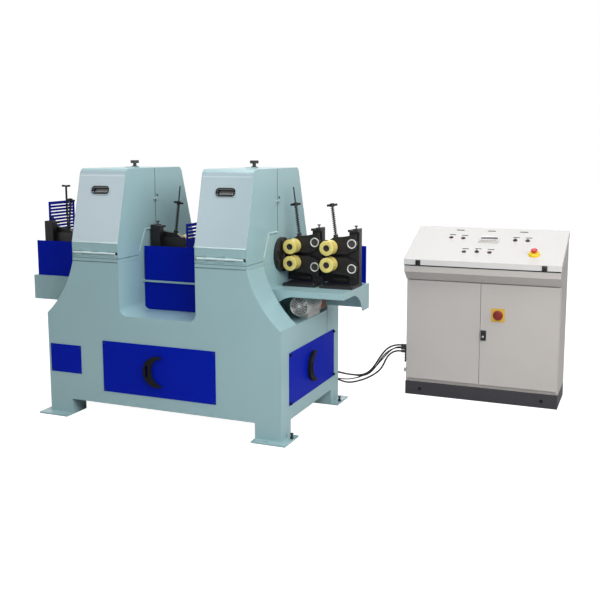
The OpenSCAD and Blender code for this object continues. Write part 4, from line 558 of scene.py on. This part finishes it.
GREY = (0.515, 0.484, 0.458)
grey = {"rough": 0.42, "mottle": 0.025, "patch": 0.5, "grain": 0.12, "grain_size": 0.002}
YELLOW = (0.72, 0.42, 0.05)
switch_plate = {"at": (2.147, 0.9252, 0.703), "half": (0.0525, 0.0022, 0.0525)}
lock_plate = {"at": (2.038, 0.9246, 0.534), "half": (0.0215, 0.0028, 0.0405)}
dress(finish("case_powder", GREY, **grey), "console_cabinet", "door_left")
dress(finish("door_powder", GREY,
             parts=[(YELLOW, 0.4, 0.0, [switch_plate]), (BLACK, 0.4, 0.0, [lock_plate])], **grey),
      "door_right")
plinth_powder = finish("plinth_powder", (0.030, 0.028, 0.034), 0.5, mottle=0.08, patch=0.2)
dress(plinth_powder, "console_plinth")
plugs = bmesh.new()
for x in (1.534, 2.494):
    turned(plugs, [(0.0, -0.0040), (0.0118, -0.0040), (0.0118, 0.0), (0.0140, 0.0),
                   (0.0135, 0.0014), (0.0090, 0.0018), (0.0, 0.0018)],
           facing((x, 0.927, 0.0535), (0, -1, 0)), 24)
fitted("plinth_plugs", plugs, pull_black, "machine", "knob_black")
# The black strip along the seam under the lid's front edge is a painted shadow.
shadow_strip = bmesh.new()
slab(shadow_strip, (1.196, 0.0032, 0.0072), Matrix.Translation((2.014, 0.8432, 1.0742)), 0.0010, 1)
fitted("lid_seam_shadow", shadow_strip, seam_and_shadow_black, "machine", "gland_black")
red_plastic = finish("red_plastic", (0.22, 0.014, 0.010), 0.32, mottle=0.06, patch=0.03, grain=0.03)
lock_black = finish("lock_black", (0.014, 0.014, 0.015), 0.4, mottle=0.12, patch=0.02)
dress(lock_black, "door_handle")
lock = bmesh.new()
turned(lock, [(0.0, 0.0), (0.0085, 0.0), (0.0085, 0.0022), (0.0070, 0.0032), (0.0, 0.0032)],
       facing((2.038, 0.9067, 0.528), (0, -1, 0)), 24)
fitted("lock_barrel", lock, catch_steel, "door_handle", "steel_bright")
switch = bmesh.new()
turned(switch, [(0.0, 0.0), (0.038, 0.0), (0.0385, 0.0040), (0.0360, 0.0110), (0.0330, 0.0128),
                (0.0, 0.0128)], facing((2.147, 0.9237, 0.703), (0, -1, 0)), 48)
slab(switch, (0.017, 0.0180, 0.067), Matrix.Translation((2.147, 0.9022, 0.703)), 0.004, 3)
turned(switch, [(0.0, 0.0), (0.0069, 0.0), (0.0069, 0.006), (0.0, 0.006)],
       facing((2.147, 0.9290, 0.703), (0, -1, 0)), 20)
fitted("main_switch_knob", switch, red_plastic, "main_switch", "signal_red", "main_switch")

# Lid: the console's sloping top, hinged at its back. It carries the lamps, the
# display and the push buttons, with plain label strips above them.

LID = (0.66, 0.65, 0.635)
dress(finish("lid_powder", LID, **grey), "console_lid")
LID_LEFT, LID_WIDTH = 1.414, 1.2
LID_FRONT, LID_RUN = 0.840, 0.530
LID_FOOT, LID_RISE = 1.123, 0.219
lid_lean = math.atan2(LID_RISE, LID_RUN)


def on_lid(across, slope, up=0.0):
    """A place on the lid's face, by shares of its width and slope."""
    spot = Vector((LID_LEFT + across * LID_WIDTH, LID_FRONT + slope * LID_RUN,
                   LID_FOOT + slope * LID_RISE))
    return (Matrix.Translation(spot) @ Matrix.Rotation(lid_lean, 4, "X")
            @ Matrix.Translation((0, 0, up)))


bezel_profile = [(0.0112, 0.0), (0.0172, 0.0), (0.0172, 0.0046), (0.0160, 0.0058), (0.0122, 0.0060),
                 (0.0112, 0.0050)]
lens_profile = [(0.0, 0.0), (0.01115, 0.0), (0.01115, 0.0095), (0.0098, 0.0112), (0.0060, 0.0124),
                (0.0, 0.0128)]
cap_profile = [(0.0, 0.0050), (0.0109, 0.0050), (0.0109, 0.0125), (0.0100, 0.0134), (0.0, 0.0128)]
stem_profile = [(0.0, -0.016), (0.0059, -0.016), (0.0059, 0.0055), (0.0, 0.0055)]
bezel_black = finish("bezel_black", (0.018, 0.018, 0.02), 0.35, mottle=0.1, patch=0.02)
lamp_lens = finish("lamp_lens", (0.11, 0.012, 0.013), 0.18, coat=0.5, mottle=0.1, patch=0.02,
                   grain=0.02)
label_dark = finish("label_dark", (0.008, 0.008, 0.010), 0.6, shine=0.15, mottle=0.25, patch=0.006)
bezels, lenses, labels = bmesh.new(), bmesh.new(), bmesh.new()
lamps = ((0.246, 0.671), (0.329, 0.661), (0.370, 0.269), (0.536, 0.277))
start_at, stop_at, selector_at = (0.673, 0.650), (0.754, 0.649), (0.453, 0.284)
for across, slope in lamps + (start_at, stop_at, selector_at):
    turned(bezels, bezel_profile, on_lid(across, slope), 32)
    slab(labels, (0.050, 0.0100, 0.0012), on_lid(across + 0.003, slope + 0.088, 0.0004), 0.0004, 1)
for across, slope in lamps:
    turned(lenses, lens_profile, on_lid(across, slope), 28)
for across in (0.288, 0.501, 0.715):
    slab(labels, (0.064, 0.0120, 0.0012), on_lid(across, 0.905, 0.0004), 0.0004, 1)
fitted("control_bezels", bezels, bezel_black, "console_lid", "knob_black")
fitted("lamp_lenses", lenses, lamp_lens, "console_lid", "signal_red")
fitted("label_strips", labels, label_dark, "console_lid", "plinth_grey")
for name, button_at, paint, slot in (("start_button", start_at, bezel_black, "knob_black"),
                                     ("stop_button", stop_at, lamp_lens, "signal_red")):
    cap = bmesh.new()
    turned(cap, cap_profile, on_lid(*button_at), 28)
    turned(cap, stem_profile, on_lid(*button_at), 16)
    fitted(name + "_cap", cap, paint, name, slot, name)
knob = bmesh.new()
turned(knob, [(0.0, 0.0006), (0.0109, 0.0006), (0.0109, 0.0092), (0.0098, 0.0104), (0.0, 0.0104)],
       on_lid(*selector_at), 28)
slab(knob, (0.0062, 0.0215, 0.0150), on_lid(*selector_at, 0.0130), 0.0018)
turned(knob, [(0.0, -0.016), (0.0059, -0.016), (0.0059, 0.001), (0.0, 0.001)], on_lid(*selector_at),
       16)
fitted("selector_knob", knob, bezel_black, "selector_switch", "knob_black", "selector_switch")

display_at = (0.504, 0.643)
display = bmesh.new()
slab(display, (0.154, 0.104, 0.0075), on_lid(*display_at, 0.0037), 0.0020)
fitted("display_frame", display, finish("display_frame", (0.60, 0.59, 0.57), 0.35, mottle=0.04,
                                        patch=0.05), "console_lid", "case_grey")
glass = bmesh.new()
slab(glass, (0.132, 0.040, 0.0016), on_lid(*display_at, 0.0078) @ Matrix.Translation((0, 0.022, 0)),
     0.0006)
fitted("display_glass", glass, finish("display_glass", (0.05, 0.055, 0.075), 0.12, coat=0.6,
                                      mottle=0.3, patch=0.05, grain=0.01), "console_lid",
       "knob_black")
keys = bmesh.new()
for i in range(6):
    slab(keys, (0.0165, 0.0120, 0.0022), on_lid(*display_at, 0.0080)
         @ Matrix.Translation((-0.0525 + 0.021 * i, -0.024, 0)), 0.0009)
slab(keys, (0.146, 0.0040, 0.0018), on_lid(*display_at, 0.0078)
     @ Matrix.Translation((0, -0.043, 0)), 0.0006)
fitted("display_keys", keys, finish("key_brown", (0.30, 0.25, 0.20), 0.45, mottle=0.1, patch=0.02),
       "console_lid", "gland_black")

e_stop_at = (0.819, 0.269)
base = bmesh.new()
turned(base, [(0.0125, 0.0), (0.0452, 0.0), (0.0452, 0.0040), (0.0425, 0.0100), (0.0380, 0.0212),
              (0.0368, 0.0226), (0.0125, 0.0226)], on_lid(*e_stop_at), 48)
fitted("stop_base", base, finish("stop_yellow", (0.86, 0.60, 0.015), 0.35, mottle=0.06, patch=0.03),
       "console_lid", "roller_yellow")
head = bmesh.new()
turned(head, [(0.0, 0.0062), (0.0119, 0.0062), (0.0119, 0.0322), (0.0225, 0.0322), (0.0248, 0.0345),
              (0.0250, 0.0410), (0.0235, 0.0465), (0.0195, 0.0505), (0.0120, 0.0532),
              (0.0, 0.0540)], on_lid(*e_stop_at), 40)
fitted("stop_mushroom", head, finish("stop_red", (0.62, 0.03, 0.03), 0.3, coat=0.3, mottle=0.05,
                                     patch=0.03), "e_stop", "signal_red", "e_stop")

latches, slots = bmesh.new(), bmesh.new()
for x in (0.093, 1.061):
    latch_x = LID_LEFT + x + 0.019
    slab(latches, (0.040, 0.0062, 0.040), Matrix.Translation((latch_x, 0.8374, 1.099)), 0.0016)
    turned(slots, [(0.0, 0.0), (0.011, 0.0), (0.011, 0.0012), (0.009, 0.0022), (0.003, 0.0022),
                   (0.0022, 0.0012), (0.0, 0.0012)], facing((latch_x, 0.8344, 1.099), (0, -1, 0)),
           24)
fitted("lid_latches", latches, lock_black, "console_lid", "knob_black")
fitted("latch_screws", slots, panel_screw, "console_lid", "steel_dark")

# Studio: a pale floor and a white surround. Five soft boxes light the machine:
# two at its right, one above, one behind, and one at the front left, which the
# covers reflect.

floor_tone, floor_glow, glow_share, ambient = 0.62, 1.98, 0.5, 0.13
floor_mesh = bmesh.new()
bmesh.ops.create_grid(floor_mesh, x_segments=1, y_segments=1, size=40.0)
floor_data = bpy.data.meshes.new("floor")
floor_mesh.to_mesh(floor_data)
floor_mesh.free()
floor = bpy.data.objects.new("floor", floor_data)
floor.location = (0.0, 0.0, -0.001)
bpy.context.scene.collection.objects.link(floor)
pale = bpy.data.materials.new("pale_floor")
pale.use_nodes = True
tree = pale.node_tree
tree.nodes.clear()
out = tree.nodes.new("ShaderNodeOutputMaterial")
matt = tree.nodes.new("ShaderNodeBsdfDiffuse")
matt.inputs["Color"].default_value = (floor_tone, floor_tone, floor_tone, 1.0)
glow = tree.nodes.new("ShaderNodeEmission")
path = tree.nodes.new("ShaderNodeLightPath")
share = tree.nodes.new("ShaderNodeMath")
share.operation = "MULTIPLY"
share.inputs[1].default_value = glow_share
mix = tree.nodes.new("ShaderNodeMixShader")
tree.links.new(path.outputs["Is Camera Ray"], share.inputs[0])
tree.links.new(share.outputs[0], mix.inputs[0])
tree.links.new(matt.outputs[0], mix.inputs[1])
tree.links.new(glow.outputs[0], mix.inputs[2])
tree.links.new(mix.outputs[0], out.inputs["Surface"])
glow.inputs["Strength"].default_value = floor_glow
floor_data.materials.append(pale)

world = bpy.data.worlds.new("surround")
bpy.context.scene.world = world
world.use_nodes = True
tree = world.node_tree
sky = tree.nodes["Background"]
sky.inputs["Color"].default_value = (1.0, 1.0, 1.0, 1.0)
path = tree.nodes.new("ShaderNodeLightPath")
seen = tree.nodes.new("ShaderNodeMath")
seen.operation = "MAXIMUM"
tree.links.new(path.outputs["Is Camera Ray"], seen.inputs[0])
tree.links.new(path.outputs["Is Glossy Ray"], seen.inputs[1])
clear = tree.nodes.new("ShaderNodeMath")
clear.operation = "MAXIMUM"
tree.links.new(seen.outputs[0], clear.inputs[0])
tree.links.new(path.outputs["Is Transmission Ray"], clear.inputs[1])
level = tree.nodes.new("ShaderNodeMapRange")
level.inputs["To Min"].default_value = ambient
level.inputs["To Max"].default_value = 1.0
tree.links.new(clear.outputs[0], level.inputs["Value"])
tree.links.new(level.outputs["Result"], sky.inputs["Strength"])

for name, place, aim, size, power in (
        ("key_right", (9.2, -3.2, 4.4), (0.9, 0.2, 0.9), (4.5, 3.5), 340.0),
        ("side_right", (3.1, -2.9, 3.0), (0.2, 0.0, 1.3), (1.6, 1.6), 78.0),
        ("top", (0.8, -0.5, 6.0), (0.8, 0.2, 0.0), (5.0, 4.0), 205.0),
        ("front_left", (-5.4, -6.4, 4.3), (-0.5, -0.4, 1.3), (4.5, 2.4), 120.0),
        ("back", (0.4, 7.5, 4.8), (0.4, 0.4, 0.9), (5.0, 3.0), 130.0)):
    box = bpy.data.lights.new(name, "AREA")
    box.shape = "RECTANGLE"
    box.size, box.size_y = size
    box.energy = power
    lamp = bpy.data.objects.new(name, box)
    turn = (Vector(place) - Vector(aim)).to_track_quat("Z", "Y").to_matrix().to_4x4()
    lamp.matrix_world = Matrix.Translation(place) @ turn
    bpy.context.scene.collection.objects.link(lamp)

bpy.context.scene.view_settings.view_transform = "Standard"
